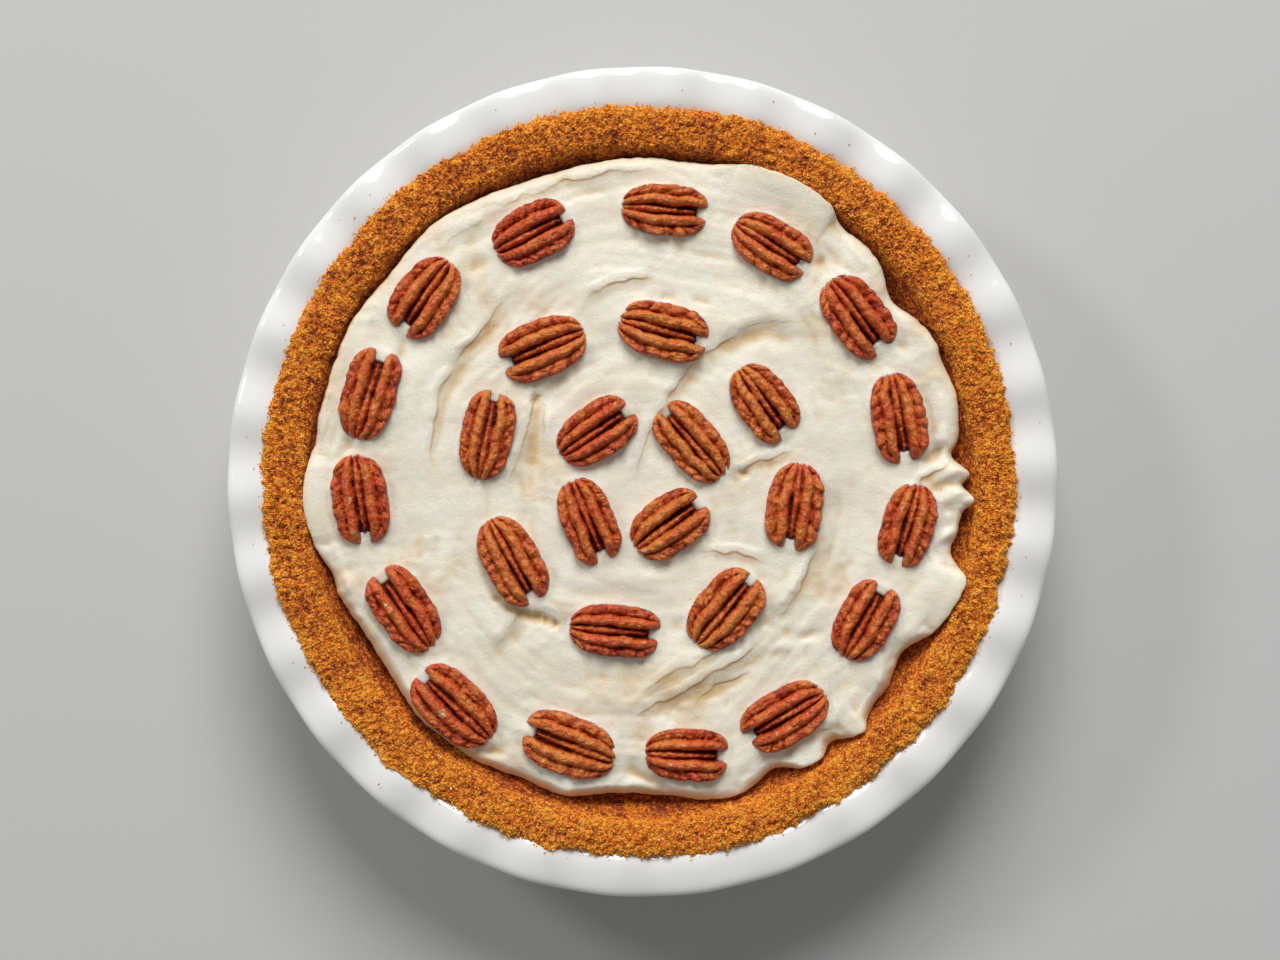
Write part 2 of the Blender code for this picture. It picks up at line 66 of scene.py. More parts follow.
MM = 0.001
FLUTES = 30
FLUTE_HEIGHT = 1.0          # up and down from the rim's mean height
FLUTE_PHASE = math.radians(2.2)
FLUTE_RADII = (112.0, 121.0)
DISH_SEGMENTS = 480
DISH_INSIDE = (             # radius and height, from the middle of the floor to the rim's outer edge
    (0.0, 6.5), (88.0, 6.5), (94.0, 7.2), (97.3, 10.0), (103.0, 19.4), (112.0, 34.3), (117.4, 43.2),
    (119.6, 46.0), (122.4, 47.6), (125.5, 48.0), (128.5, 47.95), (131.0, 47.72), (132.8, 47.3),
    (134.0, 46.5))
DISH_OUTSIDE = (            # and from there under the rim, down the wall and over the foot ring
    (134.3, 45.5), (133.7, 44.3), (132.0, 43.7), (129.0, 43.4), (126.0, 42.6), (123.6, 40.8),
    (118.0, 32.0), (110.0, 19.0), (104.6, 9.6), (101.5, 5.2), (98.2, 2.7), (95.2, 1.2), (94.0, 0.0),
    (91.5, 0.0), (89.0, 0.0), (88.1, 1.2), (86.0, 1.55), (0.0, 1.5))


def smoothstep(value, low, high):
    """Rise smoothly from 0 at low to 1 at high."""
    t = np.clip((value - low) / (high - low), 0.0, 1.0)
    return t * t * (3.0 - 2.0 * t)


def cut_corners(line, rounds):
    """Turn an open line of points into a smooth curve by cutting its corners again and again."""
    for _ in range(rounds):
        near, far = 0.75 * line[:-1] + 0.25 * line[1:], 0.25 * line[:-1] + 0.75 * line[1:]
        between = np.stack([near, far], axis=1).reshape(-1, *line.shape[1:])
        line = np.concatenate([line[:1], between, line[-1:]])
    return line


def bumps(places, size, seed):
    """Smooth noise of about -0.7 to 0.7 at each place, with bumps of about this size."""
    places = np.asarray(places, float)
    spots = (places.reshape(-1, 3) / size + (seed * 7.31, seed * 3.77, seed * 5.13)).tolist()
    return np.array([noise.noise(spot) for spot in spots]).reshape(places.shape[:-1])


def turned(radius, height, angle):
    """Points of a turned body: one row for each ring, x, y and z."""
    return np.stack([radius * np.cos(angle), radius * np.sin(angle), height + 0.0 * angle], axis=-1)


def closed_faces(rings, columns):
    """Faces between closed rings of points, whose two last points close the first and the last ring."""
    row, column = np.meshgrid(np.arange(rings - 1), np.arange(columns), indexing="ij")
    after = (column + 1) % columns
    corners = (row * columns + column, row * columns + after,
               (row + 1) * columns + after, (row + 1) * columns + column)
    faces = np.stack(corners, axis=-1).reshape(-1, 4).tolist()
    last, ends = (rings - 1) * columns, rings * columns
    faces += [[(i + 1) % columns, i, ends] for i in range(columns)]
    faces += [[last + i, last + (i + 1) % columns, ends + 1] for i in range(columns)]
    return faces


def add_piece(name, points, faces, look, slot, *nodes, smooth=True, **values):
    """Make a mesh from points in millimetres, give it values per point, and hang it on the frame."""
    mesh = bpy.data.meshes.new(name)
    mesh.from_pydata((points.reshape(-1, 3) * MM).tolist(), [], [list(face) for face in faces])
    mesh.polygons.foreach_set("use_smooth", np.full(len(mesh.polygons), smooth))
    for key, value in values.items():
        mesh.attributes.new(key, "FLOAT", "POINT").data.foreach_set("value", np.ravel(value))
    mesh.validate()
    mesh.materials.append(look)
    piece = bpy.data.objects.new(name, mesh)
    bpy.context.scene.collection.objects.link(piece)
    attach(piece, "root")
    if nodes:
        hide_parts(*nodes)


def colour(code):
    """Linear colour of an sRGB hex value."""
    parts = [int(code[place:place + 2], 16) / 255.0 for place in (1, 3, 5)]
    return (*((p / 12.92 if p <= 0.04045 else ((p + 0.055) / 1.055) ** 2.4) for p in parts), 1.0)


def new_look(name):
    """An empty material and its shader."""
    look = bpy.data.materials.new(name)
    look.use_nodes = True
    return look, look.node_tree.nodes["Principled BSDF"]


def set_inputs(look, made, inputs):
    """Set the inputs of a node to values, or link them."""
    for key, value in inputs.items():
        if isinstance(value, bpy.types.NodeSocket):
            look.node_tree.links.new(value, made.inputs[key])
        else:
            made.inputs[key].default_value = value


def node(look, kind, output, inputs, stops=(), **options):
    """Add a node with its options, its colour stops and its inputs, and give one of its outputs."""
    made = look.node_tree.nodes.new("ShaderNode" + kind)
    for key, value in options.items():
        setattr(made, key, value)
    for index, (place, code) in enumerate(stops):
        ramp = made.color_ramp.elements
        stop = ramp[index] if index < 2 else ramp.new(place)
        stop.position, stop.color = place, colour(code)
    set_inputs(look, made, inputs)
    return made.outputs[output]


def flute(radius, angle):
    """Rise and fall of the rim."""
    return FLUTE_HEIGHT * np.cos(FLUTES * (angle - FLUTE_PHASE)) * smoothstep(radius, *FLUTE_RADII)


def dish_height(radius, angle):
    """Height of the dish's upper side."""
    inside = np.array(DISH_INSIDE)
    return np.interp(radius, inside[:, 0], inside[:, 1]) + flute(radius, angle)


angle = np.linspace(0.0, 2.0 * math.pi, DISH_SEGMENTS, endpoint=False)
profile = cut_corners(np.array(DISH_INSIDE[1:] + DISH_OUTSIDE[:-1]), 1)
radius, height = profile[:, :1], profile[:, 1:]
body = turned(radius, height + flute(radius, angle), angle)
body[..., 2] += 0.15 * bumps(body, 28.0, 1) * smoothstep(radius, 108.0, 125.0)
middles = [(0.0, 0.0, DISH_INSIDE[0][1]), (0.0, 0.0, DISH_OUTSIDE[-1][1])]
body = np.vstack([body.reshape(-1, 3), middles])
faces = [face[::-1] for face in closed_faces(len(profile), DISH_SEGMENTS)]

# White glazed stoneware: a clean, faintly warm white under a glassy coat that flows into soft waves,
# so that its highlights are sharp but never quite straight. The bare foot is matt buff clay.
glaze, shader = new_look("glazed_stoneware")
place = node(glaze, "TexCoord", "Object", {})
pooling = node(glaze, "TexNoise", "Fac", {"Vector": place, "Scale": 1.0 / (24 * MM), "Detail": 2.0})
white = node(glaze, "ValToRGB", "Color", {"Fac": pooling}, stops=((0.3, "#E8E7E4"), (0.7, "#F0EFEC")))
up = node(glaze, "SeparateXYZ", "Z", {"Vector": place})
bare = node(glaze, "MapRange", "Result", {
    "Value": up, "From Min": 0.3 * MM, "From Max": 0.7 * MM, "To Min": 1.0, "To Max": 0.0})
clay = node(glaze, "Mix", 2, {"Factor": bare, 6: white, 7: colour("#C9B79C")}, data_type="RGBA")
rough = node(glaze, "Mix", 0, {"Factor": bare, 2: 0.11, 3: 0.85}, data_type="FLOAT")
flow = node(glaze, "TexNoise", "Fac", {"Vector": place, "Scale": 1.0 / (11 * MM), "Detail": 1.0})
relief = node(glaze, "Bump", "Normal", {"Height": flow, "Strength": 0.6, "Distance": 0.25 * MM})
set_inputs(glaze, shader, {"Base Color": clay, "Roughness": rough, "Normal": relief, "IOR": 1.5})
add_piece("dish_stoneware", body, faces, glaze, "dish_glaze", "dish")


# --- Crust ----------------------------------------------------------------------------------------
# A crust of crushed sweet biscuits and butter, pressed by hand up the side of the dish and onto its
# rim, then baked golden brown. Its top is loose and lumpy, its inner wall smoother.

CRUST_SEGMENTS = 1080
CRUST_EDGE_RADIUS = 121.1
CRUST_SHIFT = 1.0           # towards -X
CRUST_EDGE_WOBBLE = 1.6
CRUST_TOP = 48.6
CRUST_TOP_WOBBLE = 0.8
CRUST_SHOULDER = (107.8, 46.0)
CRUST_WALL_SLOPE = 0.5
CRUST_FLOOR = 12.3
CRUST_ROW = 0.6             # between the rows of points where it shows
CRUST_LOWEST_SEEN = 35.0    # the cream hides the wall from here down
CRUST_SEAT = 0.35           # between the crust and the glaze under it
# painted shade: the crust's colour is darkest at this turn, on the far side
CRUST_SHADED_SIDE = math.radians(110.0)
GAP_LEAST, GAP_MORE = 0.6, 1.4      # between the wall and the cream, and how much more at its widest
GAP_WIDEST = math.radians(308.0)


def round_bumps(angle, count, seed):
    """Smooth noise on a circle, with about this many bumps round it."""
    reach = count / math.pi
    spots = np.stack([reach * np.cos(angle), reach * np.sin(angle), np.full_like(angle, seed)], axis=-1)
    return np.array([noise.noise(spot) for spot in spots.reshape(-1, 3).tolist()]).reshape(angle.shape)


def crust_edge(angle):
    """Radius of the crust's uneven outer edge."""
    wobble = 0.6 * round_bumps(angle, 45, 3.0) + 0.6 * round_bumps(angle, 17, 8.0)
    wobble = wobble + 0.6 * round_bumps(angle, 120, 31.0) + 0.45 * round_bumps(angle, 300, 32.0)
    return CRUST_EDGE_RADIUS - CRUST_SHIFT * np.cos(angle) + CRUST_EDGE_WOBBLE * wobble


def crust_wall(height, angle):
    """Radius of the crust's inner wall."""
    radius, top = CRUST_SHOULDER
    return radius - CRUST_SHIFT * np.cos(angle) + CRUST_WALL_SLOPE * (height - top)


def crust_crest(angle):
    """Height of the crust's uneven top."""
    return CRUST_TOP + CRUST_TOP_WOBBLE * round_bumps(angle, 25, 5.0)


def point_value(look, name):
    """The value of this name that a piece has at each point."""
    return node(look, "Attribute", "Fac", {}, attribute_name=name)


angle = np.linspace(0.0, 2.0 * math.pi, CRUST_SEGMENTS, endpoint=False)
edge, crest, shoulder = crust_edge(angle), crust_crest(angle), crust_wall(CRUST_SHOULDER[1], angle)
rim = dish_height(edge - 0.4, angle) + CRUST_SEAT
gap = GAP_LEAST + GAP_MORE * smoothstep(np.cos(angle - GAP_WIDEST), 0.35, 0.85)
shoulder += gap
outline = np.array([
    (edge - 0.5, rim), (edge + 0.3, rim + 0.2), (edge, 0.6 * rim + 0.4 * crest), (edge - 1.3, crest),
    (edge - 4.5, crest + 0.2), (shoulder + 5.0, crest - 0.1), (shoulder + 2.2, crest - 0.4),
    (shoulder + 0.9, crest - 1.0), (shoulder + 0.1, 46.3 + 0.0 * angle),
    (crust_wall(42.0, angle) + gap, 42.0 + 0.0 * angle),
    (crust_wall(CRUST_LOWEST_SEEN, angle), CRUST_LOWEST_SEEN + 0.0 * angle)])
outline = cut_corners(outline, 3)
run = np.linalg.norm(np.diff(outline.mean(axis=2), axis=0), axis=1)
run = np.concatenate([[0.0], np.cumsum(run)])
rows = np.arange(0.0, run[-1], CRUST_ROW)
share = np.interp(rows, run, np.arange(len(run)))
lower = np.minimum(share.astype(int), len(run) - 2)
part = (share - lower)[:, None, None]
outline = outline[lower] * (1.0 - part) + outline[lower + 1] * part
slope = np.gradient(outline, axis=0)
outward = np.stack([slope[:, 1], -slope[:, 0]], axis=1)
outward /= np.linalg.norm(outward, axis=1, keepdims=True)
crust_surface = turned(outline[:, 0], outline[:, 1], angle)
crust_outward = turned(outward[:, 0], outward[:, 1], angle)
loose = smoothstep(crust_surface[..., 2], 44.5, 47.5)               # 1 on the top, 0 on the pressed wall
loose *= 0.5 + 0.5 * smoothstep(np.hypot(crust_surface[..., 0], crust_surface[..., 1]), 112.0, 117.0)
clump, fleck = bumps(crust_surface, 1.7, 3), np.abs(bumps(crust_surface, 1.1, 4))
swell = 0.5 * bumps(crust_surface, 6.5, 2) + (0.35 + 0.6 * loose) * clump + (0.25 + 0.6 * loose) * fleck
swell *= smoothstep(rows, -0.5, 1.2)[:, None]
crust_surface += crust_outward * swell[..., None]
# painted light and shade: crumb that swells up in clumps and flecks is coloured lighter, the low places
# between them darker
crust_tone_and_shade = 0.46 - 0.07 * loose + (0.3 + 0.2 * loose) * clump + 0.75 * fleck
crust_tone_and_shade += 0.3 * bumps(crust_surface, 3.2, 10) + 0.25 * bumps(crust_surface, 8.0, 9)
crust_tone_and_shade -= 0.10 * np.cos(angle - CRUST_SHADED_SIDE)                  # painted shade: the crust is darker towards the far side and lighter on the near side
crust_tone_and_shade -= 0.45 * smoothstep(46.0 - crust_surface[..., 2], 0.0, 3.0)     # painted shade: the wall is darker below the shoulder, beside the cream's edge
crust_tone_and_shade += 0.38 * (1.0 - smoothstep(rows, 1.5, 5.5))[:, None]    # painted light: the thin outer fringe is lighter and more golden, as light shines through it

hidden = [(crust_wall(CRUST_FLOOR + 3.0, angle), CRUST_FLOOR + 3.0),
          (crust_wall(CRUST_FLOOR + 3.0, angle) - 5.0, CRUST_FLOOR)]
under = [(92.0, 6.8), (96.7, 9.8), (117.0, 43.5), (np.minimum(edge - 1.4, 120.2), None)]
under = [(radius + 0.0 * angle, dish_height(radius, angle) + CRUST_SEAT if height is None else height)
         for radius, height in under]
under, hidden = (np.array([turned(*ring, angle) for ring in rings]) for rings in (under, hidden))
body = np.concatenate([under, crust_surface, hidden])
tone = np.concatenate([0.4 + 0.0 * under[..., 0], crust_tone_and_shade, 0.4 + 0.0 * hidden[..., 0]])
count = len(body)
body = np.vstack([body.reshape(-1, 3), [(0.0, 0.0, 6.8), (0.0, 0.0, CRUST_FLOOR)]])
faces = closed_faces(count, CRUST_SEGMENTS)

# Baked biscuit crumb: packed grains from caramel brown to bright gold, with the pits between them painted
# dark as shade, painted shade low on the wall and between clumps, and a dull skin of butter. Grains are
# about 0.8 mm.
crumb, shader = new_look("baked_biscuit_crumb")
place = node(crumb, "TexCoord", "Object", {})
warp = node(crumb, "TexNoise", "Color", {"Vector": place, "Scale": 1.0 / (1.8 * MM), "Detail": 2.0})
place = node(crumb, "Mix", 1, {"Factor": 0.6 * MM, 4: place, 5: warp}, data_type="VECTOR")
grain = node(crumb, "TexVoronoi", "Color", {"Vector": place, "Scale": 1.0 / (0.85 * MM)})
shade = node(crumb, "SeparateColor", "Red", {"Color": grain})
tone_here = point_value(crumb, "tone")
shade = node(crumb, "Mix", 0, {"Factor": 0.45, 2: shade, 3: tone_here}, data_type="FLOAT")
baked = node(crumb, "ValToRGB", "Color", {"Fac": shade}, stops=(
    (0.15, "#782A0A"), (0.85, "#F9B036"), (0.36, "#C45C0D"), (0.55, "#EA800F")))
pit = node(crumb, "MapRange", "Result", {
    "Value": grain.node.outputs["Distance"],
    "From Min": 0.4, "From Max": 0.85, "To Min": 0.0, "To Max": 0.75})
# painted shade: the pits between grains are mixed towards dark brown
baked = node(crumb, "Mix", 2, {"Factor": pit, 6: baked, 7: colour("#7A3606")}, data_type="RGBA")
relief = node(crumb, "Bump", "Normal", {"Height": pit, "Strength": 0.8, "Distance": 0.35 * MM},
              invert=True)
set_inputs(crumb, shader, {"Base Color": baked, "Normal": relief, "Roughness": 0.85})
add_piece("crust_pressed_crumb", body, faces, crumb, "crumb_crust", "crust",
          tone=np.append(tone.ravel(), [0.4, 0.4]))


# --- Loose crumbs ---------------------------------------------------------------------------------
# Single grains of the same biscuit. They stand out of the crust's top and edge, lie half pressed
# into its wall, and a few have fallen onto the rim.

# Biscuit grain: broken facets, each grain its own shade between caramel and gold, and a few near white,
# partly the pale sugar in them and partly painted glints of light.
grains, shader = new_look("biscuit_grain")
tone = point_value(grains, "tone")
baked = node(grains, "ValToRGB", "Color", {"Fac": tone}, stops=(
    (0.00, "#6A260A"), (1.00, "#FBE3BC"), (0.25, "#B8540D"), (0.50, "#E97E0E"), (0.86, "#F9AE36")))
set_inputs(grains, shader, {"Base Color": baked, "Roughness": 0.75})

TOP_CRUMBS, WALL_CRUMBS, FALLEN_CRUMBS = 24000, 8000, 4200
STRAY_CRUMBS = 26           # of the fallen ones, that lie out on the bare rim
GOLDEN_TONE, GLINT_TONE, GLINT_SHARE = 0.86, 1.0, 0.003
GRAIN = np.array([(1, 0, 0), (0, 1, 0), (-1, 0, 0), (0, -1, 0), (0, 0, 1), (0, 0, -1)], float)
GRAIN_FACES = np.array([
    (0, 1, 4), (1, 2, 4), (2, 3, 4), (3, 0, 4), (1, 0, 5), (2, 1, 5), (3, 2, 5), (0, 3, 5)])


def crumb_sizes(least, more, count):
    """Sizes of broken grains: most of them small, a few up to the largest."""
    return least + more * rng.beta(1.4, 4.0, count)


def add_crumbs(name, places, sizes, tones, spread):
    """Scatter broken grains, each turned, stretched and dented in its own way."""
    count = len(places)
    q = rng.normal(size=(count, 4))
    w, x, y, z = (q / np.linalg.norm(q, axis=1, keepdims=True)).T
    turn = np.array([[1 - 2 * (y * y + z * z), 2 * (x * y - w * z), 2 * (x * z + w * y)],
                     [2 * (x * y + w * z), 1 - 2 * (x * x + z * z), 2 * (y * z - w * x)],
                     [2 * (x * z - w * y), 2 * (y * z + w * x), 1 - 2 * (x * x + y * y)]])
    shape = GRAIN * rng.uniform(0.8, 1.25, (count, 6, 1)) + rng.uniform(-0.3, 0.3, (count, 6, 3))
    shape *= rng.uniform(0.75, 1.1, (count, 1, 3))
    shape = np.einsum("ijn,nkj->nki", turn, shape) * (0.5 * sizes)[:, None, None]
    faces = (GRAIN_FACES + 6 * np.arange(count)[:, None, None]).reshape(-1, 3)
    tones = np.clip(tones + rng.uniform(-spread, spread, count), 0.0, GOLDEN_TONE)
    # painted highlights: a few grains are set pale, as glints on the sugar in them
    tones[rng.uniform(size=count) < GLINT_SHARE] = GLINT_TONE
    add_piece(name, places[:, None, :] + shape, faces, grains, "crumb_crust",
              smooth=False, tone=np.repeat(tones, 6))


def on_crust(count, first, last, stand):
    """Places and tones on the crust between two distances in from its foot, where grains stand out."""
    row = rng.uniform(first / CRUST_ROW, last / CRUST_ROW, count).astype(int)
    column = rng.integers(0, CRUST_SEGMENTS, count)
    places = crust_surface[row, column] + crust_outward[row, column] * rng.uniform(*stand, (count, 1))
    return places, crust_tone_and_shade[row, column]


places, tones = on_crust(TOP_CRUMBS, 0.3, 14.5, (-0.15, 0.3))
add_crumbs("crust_top_crumbs", places, crumb_sizes(0.5, 0.8, TOP_CRUMBS), tones, 0.48)
places, tones = on_crust(WALL_CRUMBS, 13.0, 23.0, (-0.2, 0.05))
add_crumbs("crust_wall_crumbs", places, crumb_sizes(0.45, 0.5, WALL_CRUMBS), tones, 0.3)

angle = rng.uniform(0.0, 2.0 * math.pi, FALLEN_CRUMBS)
radius = crust_edge(angle) - 0.5 + np.minimum(rng.exponential(0.4, FALLEN_CRUMBS), 2.4)
radius[:STRAY_CRUMBS] = rng.uniform(122.5, 130.0, STRAY_CRUMBS)
sizes = crumb_sizes(0.4, 0.5, FALLEN_CRUMBS)
places = turned(radius, dish_height(radius, angle) + 0.33 * sizes, angle)
# painted light: the fallen grains are coloured lighter and more golden to offset the shade on them
add_crumbs("rim_fallen_crumbs", places, sizes, np.full(FALLEN_CRUMBS, 0.85), 0.2)


# --- Cream ----------------------------------------------------------------------------------------
# Whipped cream, spread over the filling with a spatula that has left folds, ridges and soft swirls.
# It is laid up to the crust's wall and ends in a thick rounded edge.

SEEN_SCALE = 1.002          # the cream lies about 2 mm lower than the rim, so it is this much larger
CREAM_GRID = 296            # points along each side of the grid that is bent into the round top
CREAM_EDGE = (              # degrees from +X and radius of each lobe and notch
    (1.4, 105.5), (4.6, 100.4), (7.4, 102.8), (11, 104.2), (16, 105.3), (22, 104.4), (25.5, 105),
    (30, 103.5), (36, 99.8), (42, 104), (46, 105.1), (52, 104.8), (56, 108), (61, 108.8), (66, 108.9),
    (72, 107.4), (80, 104.5), (90, 105), (100, 104.3), (110, 104.1), (120, 105.8), (130, 107.2),
    (140, 105.9), (149, 107), (155, 107.1), (162, 106.5), (169, 106.8), (173, 106.5), (176, 107.9),
    (182, 109.6), (187, 109.1), (193.5, 106.7), (197, 104.7), (200, 105.3), (204, 103.7), (209, 102.6),
    (218, 102.9), (226, 105.2), (234, 105.3), (239, 105.2), (243, 104.6), (248, 103.8), (252.5, 104.4),
    (256, 104.9), (259, 103.4), (265, 101.3), (271.5, 101.2), (277, 102.8), (280, 104.5), (286.5, 106),
    (291, 104.5), (294.4, 102.2), (299, 105.8), (303, 106.4), (306, 103.9), (309.6, 106.7),
    (311.8, 107.6), (313.5, 105.6), (316.4, 104), (320, 103.6), (322.6, 102.1), (326, 100.7),
    (328.5, 101.7), (332, 105.5), (336.7, 107.7), (340.7, 109), (343.5, 108.3), (345.2, 104.8),
    (348, 101.9), (350.5, 103.2), (354.5, 104.1), (356.9, 107.1), (359.3, 103.7))
CREAM_EDGE_HEIGHT = 42.0
CREAM_UNDERCUT = 0.8
CREAM_LEVEL = 46.2
CREAM_CROWN = 1.0
CREAM_ROLL = 5.5
CREAM_ROLL_SHARE = 0.13     # share of the grid's rings that lies on the rounded border
CREAM_CLIMB = 9.0           # how far in the top still rises where the edge climbs the crust
CREAM_WAVE, CREAM_WAVE_SIZE = 0.5, 38.0
FINEST_RIDGE = 1.5          # the grid can't show a narrower one

# Folds: points along the foot with the high side on the left, height, width of the face, reach.
FOLDS = (
    (((-66, -4), (-68, 10), (-67, 22), (-63, 34), (-54, 46), (-45, 57), (-36, 69)), 2.4, 1.3, 14.0),
    (((-22, 54), (-14, 62), (-3, 66), (5, 66)), 1.4, 1.2, 8.0),
    (((-44, -5), (-41, 5), (-38, 15), (-36, 24), (-30, 31)), 1.8, 1.3, 10.0),
    (((-2, -5), (-1, 8), (7, 26), (15, 36), (25, 44), (35, 51), (48, 52), (60, 50)), 3.0, 1.6, 12.0),
    (((41, -47), (50, -37), (55, -24), (58, -12)), 2.2, 1.3, 7.0),
    (((-7, -79), (8, -70), (20, -63), (33, -56), (41, -47)), 2.6, 1.6, 9.0),
    (((-50, -58), (-42, -46), (-37, -42), (-24, -46)), 3.0, 1.5, 10.0),
    (((-69, 72), (-45, 89), (-15, 99), (13, 101)), 1.3, 1.2, 4.0),
)
SMALL_FOLDS = (
    (((27, 1), (33, 4.5), (40, 7.5), (50, 10)), 0.9, 1.3, 5.0),
    (((15, -22), (25, -22.5), (35, -24), (40, -26)), 0.9, 1.3, 3.0),
    (((-31, 28), (-32, 12), (-31, -8)), 0.7, 1.3, 6.0),
    (((-2, -70), (8, -62), (20, -57), (30, -50)), 0.9, 1.0, 3.0),
    (((12, -74), (24, -66), (36, -60)), 0.8, 1.0, 3.0),
    (((87, -6), (90.5, 0), (95, 3.5), (99.5, 6.5)), 0.9, 0.6, 3.0),
    (((42.5, -91.5), (48, -85), (56.5, -80.5), (66, -78)), 0.9, 0.8, 3.0),
    (((70.5, -80), (73, -73), (78, -66.5)), 0.8, 0.7, 2.5),
    (((-47, -35), (-42, -40.5), (-36, -41), (-30, -43), (-24, -46)), 1.2, 0.7, 3.0),
)
# Ridges and, where the height is below 0, grooves: points along them, height, half width.
RIDGES = (
    (((-34.5, 28), (-35.5, 12), (-34.5, -8)), -0.5, 2.6),
    (((15, 59), (23, 57)), -0.8, 1.5), (((5, 60), (11, 59.5)), -0.6, 1.2),
    (((32.5, 3), (34, 3)), -0.9, 0.8),
    (((12, 36), (21, 42.5), (33, 46.5), (46, 46), (60, 44)), -0.7, 2.6),
    (((52, -25), (48, -34), (42, -44)), 0.5, 1.2),
    (((60, 0), (62, -12), (60, -25), (55, -37)), -0.8, 3.5),
    (((62, -47), (55, -49), (50, -50.5), (45, -48.5), (40, -46)), -0.9, 0.9),
    (((35, -55), (45, -53), (60, -52)), 0.5, 1.5), (((40, -56), (50, -55)), -0.5, 0.8),
    (((10, -62), (2, -67), (-7, -74)), 0.6, 1.3), (((8, -65), (18, -63)), -0.4, 0.7),
    (((-20, -62), (-10, -63)), -0.5, 1.0), (((-35, -55), (-25, -58)), -0.4, 2.0),
    (((8, -47), (14, -45.5)), -0.5, 0.8),
    (((-60, 74.5), (-50, 79.5), (-23, 92), (-15, 93.5), (0, 94.5)), -0.5, 1.0),
    (((-57, 68), (-49, 72)), -0.5, 0.9), (((-59, 61), (-54, 64)), -0.5, 0.9),
    (((53, 74), (60, 73), (62, 70), (55, 68)), -0.9, 2.5),
    (((55, 92), (62, 83), (65, 76), (67, 70)), -0.4, 0.8),
    (((93, 35), (96, 25), (97, 15), (95, 10)), 0.7, 1.8), (((99, 13), (94, 9), (90, 5)), -1.2, 1.3),
    (((83, 44), (85, 44)), -0.7, 2.0),
    (((107, 4.5), (100, 3.5), (93, -1)), 0.9, 1.0), (((108, -4), (101, -4), (94, -8)), 1.0, 1.0),
    (((104, 1), (97, -1), (92, -5)), -0.8, 1.0), (((102, -9), (96, -9)), -0.8, 1.2),
    (((106, -17), (99, -17), (92, -22)), 0.9, 1.2), (((101, -13), (95, -15)), -0.6, 1.2),
    (((95, 33), (98, 20), (98.5, 8), (99, -6), (97, -17), (94, -32), (87, -46), (77, -60), (63, -76)),
     1.6, 3.4),
    (((92, -30), (85, -42), (76, -55), (70, -62)), 0.7, 2.0), (((84, -50), (79, -60)), -0.8, 1.6),
    (((70, -65), (65, -72), (60, -78)), 0.5, 1.2), (((57, -79), (71, -79)), -0.9, 1.5),
    (((40, -94), (30, -95)), -0.8, 0.9), (((26, -72), (28, -72)), -0.6, 1.6),
    (((-6, -86), (-3, -93), (4, -97.5), (14, -101)), -1.1, 1.4),
    (((-57, -83), (-50, -87), (-41, -86)), -1.3, 2.0),
    (((-97, -33), (-91, -41), (-86, -47)), -0.7, 1.2),
    (((-76.5, 49), (-78, 42), (-79.5, 36)), -0.9, 1.3),
    (((-94, 16), (-96, 10.5), (-99.5, 5)), -0.9, 1.3),
    (((-99, 43), (-101.5, 30), (-103, 18), (-102, 6)), 0.6, 1.4),
)

# Pockets where the cream has torn: x, y, radius.
POCKETS = ((-46, -37.5, 1.4), (-42.5, -40.5, 2.0), (-39.5, -42, 2.0), (-36.5, -42.8, 1.7),
           (-33.5, -43.5, 1.3), (-31, -44.5, 1.0), (-28.5, -45.5, 0.8), (-34, 26.5, 1.7), (33, 3, 1.2),
           (57.5, 71, 2.2))


def cream_edge(angle):
    """Radius of the cream's edge: a smooth closed curve through its lobes and notches."""
    turn, radius = np.array(CREAM_EDGE[-2:] + CREAM_EDGE + CREAM_EDGE[:2]).T
    turn[:2] -= 360.0
    turn[-2:] += 360.0
    slope = np.gradient(radius) / np.gradient(turn)
    place = np.degrees(angle) % 360.0
    start = np.searchsorted(turn, place, side="right") - 1
    span = turn[start + 1] - turn[start]
    part = (place - turn[start]) / span
    level = radius[start] + (radius[start + 1] - radius[start]) * part * part * (3.0 - 2.0 * part)
    lean = span * part * (1.0 - part) * ((1.0 - part) * slope[start] - part * slope[start + 1])
    return (level + lean) * SEEN_SCALE


def smooth_line(points):
    """Run a smooth curve through points."""
    spots = [Vector((x * SEEN_SCALE, y * SEEN_SCALE, 0.0)) for x, y in points]
    slopes = [spots[min(i + 1, len(spots) - 1)] - spots[max(i - 1, 0)] for i in range(len(spots))]
    line = []
    for i in range(len(spots) - 1):
        line += geometry.interpolate_bezier(
            spots[i], spots[i] + slopes[i] / 6.0, spots[i + 1] - slopes[i + 1] / 6.0, spots[i + 1], 6)[:-1]
    return np.array(line + [spots[-1]])[:, :2]


def beside(x, y, line):
    """How far each place lies to the left of a line, and how near it is to the line's ends, 0 to 1."""
    best, side, along = np.full(x.shape, 1.0e9), np.zeros(x.shape), np.zeros(x.shape)
    for index, (start, end) in enumerate(zip(line, line[1:])):
        dx, dy = end - start
        share = np.clip(((x - start[0]) * dx + (y - start[1]) * dy) / (dx * dx + dy * dy), 0.0, 1.0)
        away = np.hypot(x - start[0] - share * dx, y - start[1] - share * dy)
        left = np.where(dx * (y - start[1]) - dy * (x - start[0]) > 0.0, 1.0, -1.0)
        near = away < best
        best, side = np.where(near, away, best), np.where(near, away * left, side)
        along = np.where(near, index + share, along)
    return side, smoothstep(np.minimum(along, len(line) - 1 - along), 0.0, 0.3 * len(line))


def fold_relief(x, y, folds, share=1.0, wider=1.0):
    """Height that folds add: a steep face, a high side that levels out, a groove along the foot."""
    total = np.zeros(x.shape)
    for points, height, face, reach in folds:
        height, face = share * height, wider * face
        side, taper = beside(x, y, smooth_line(points))
        step = 0.5 * (1.0 + np.tanh(side / face)) * np.exp(-np.maximum(side, 0.0) / reach)
        total += height * taper * (step - 0.3 * np.exp(-((side + 1.6 * face) / (2.0 * face)) ** 2))
    return total


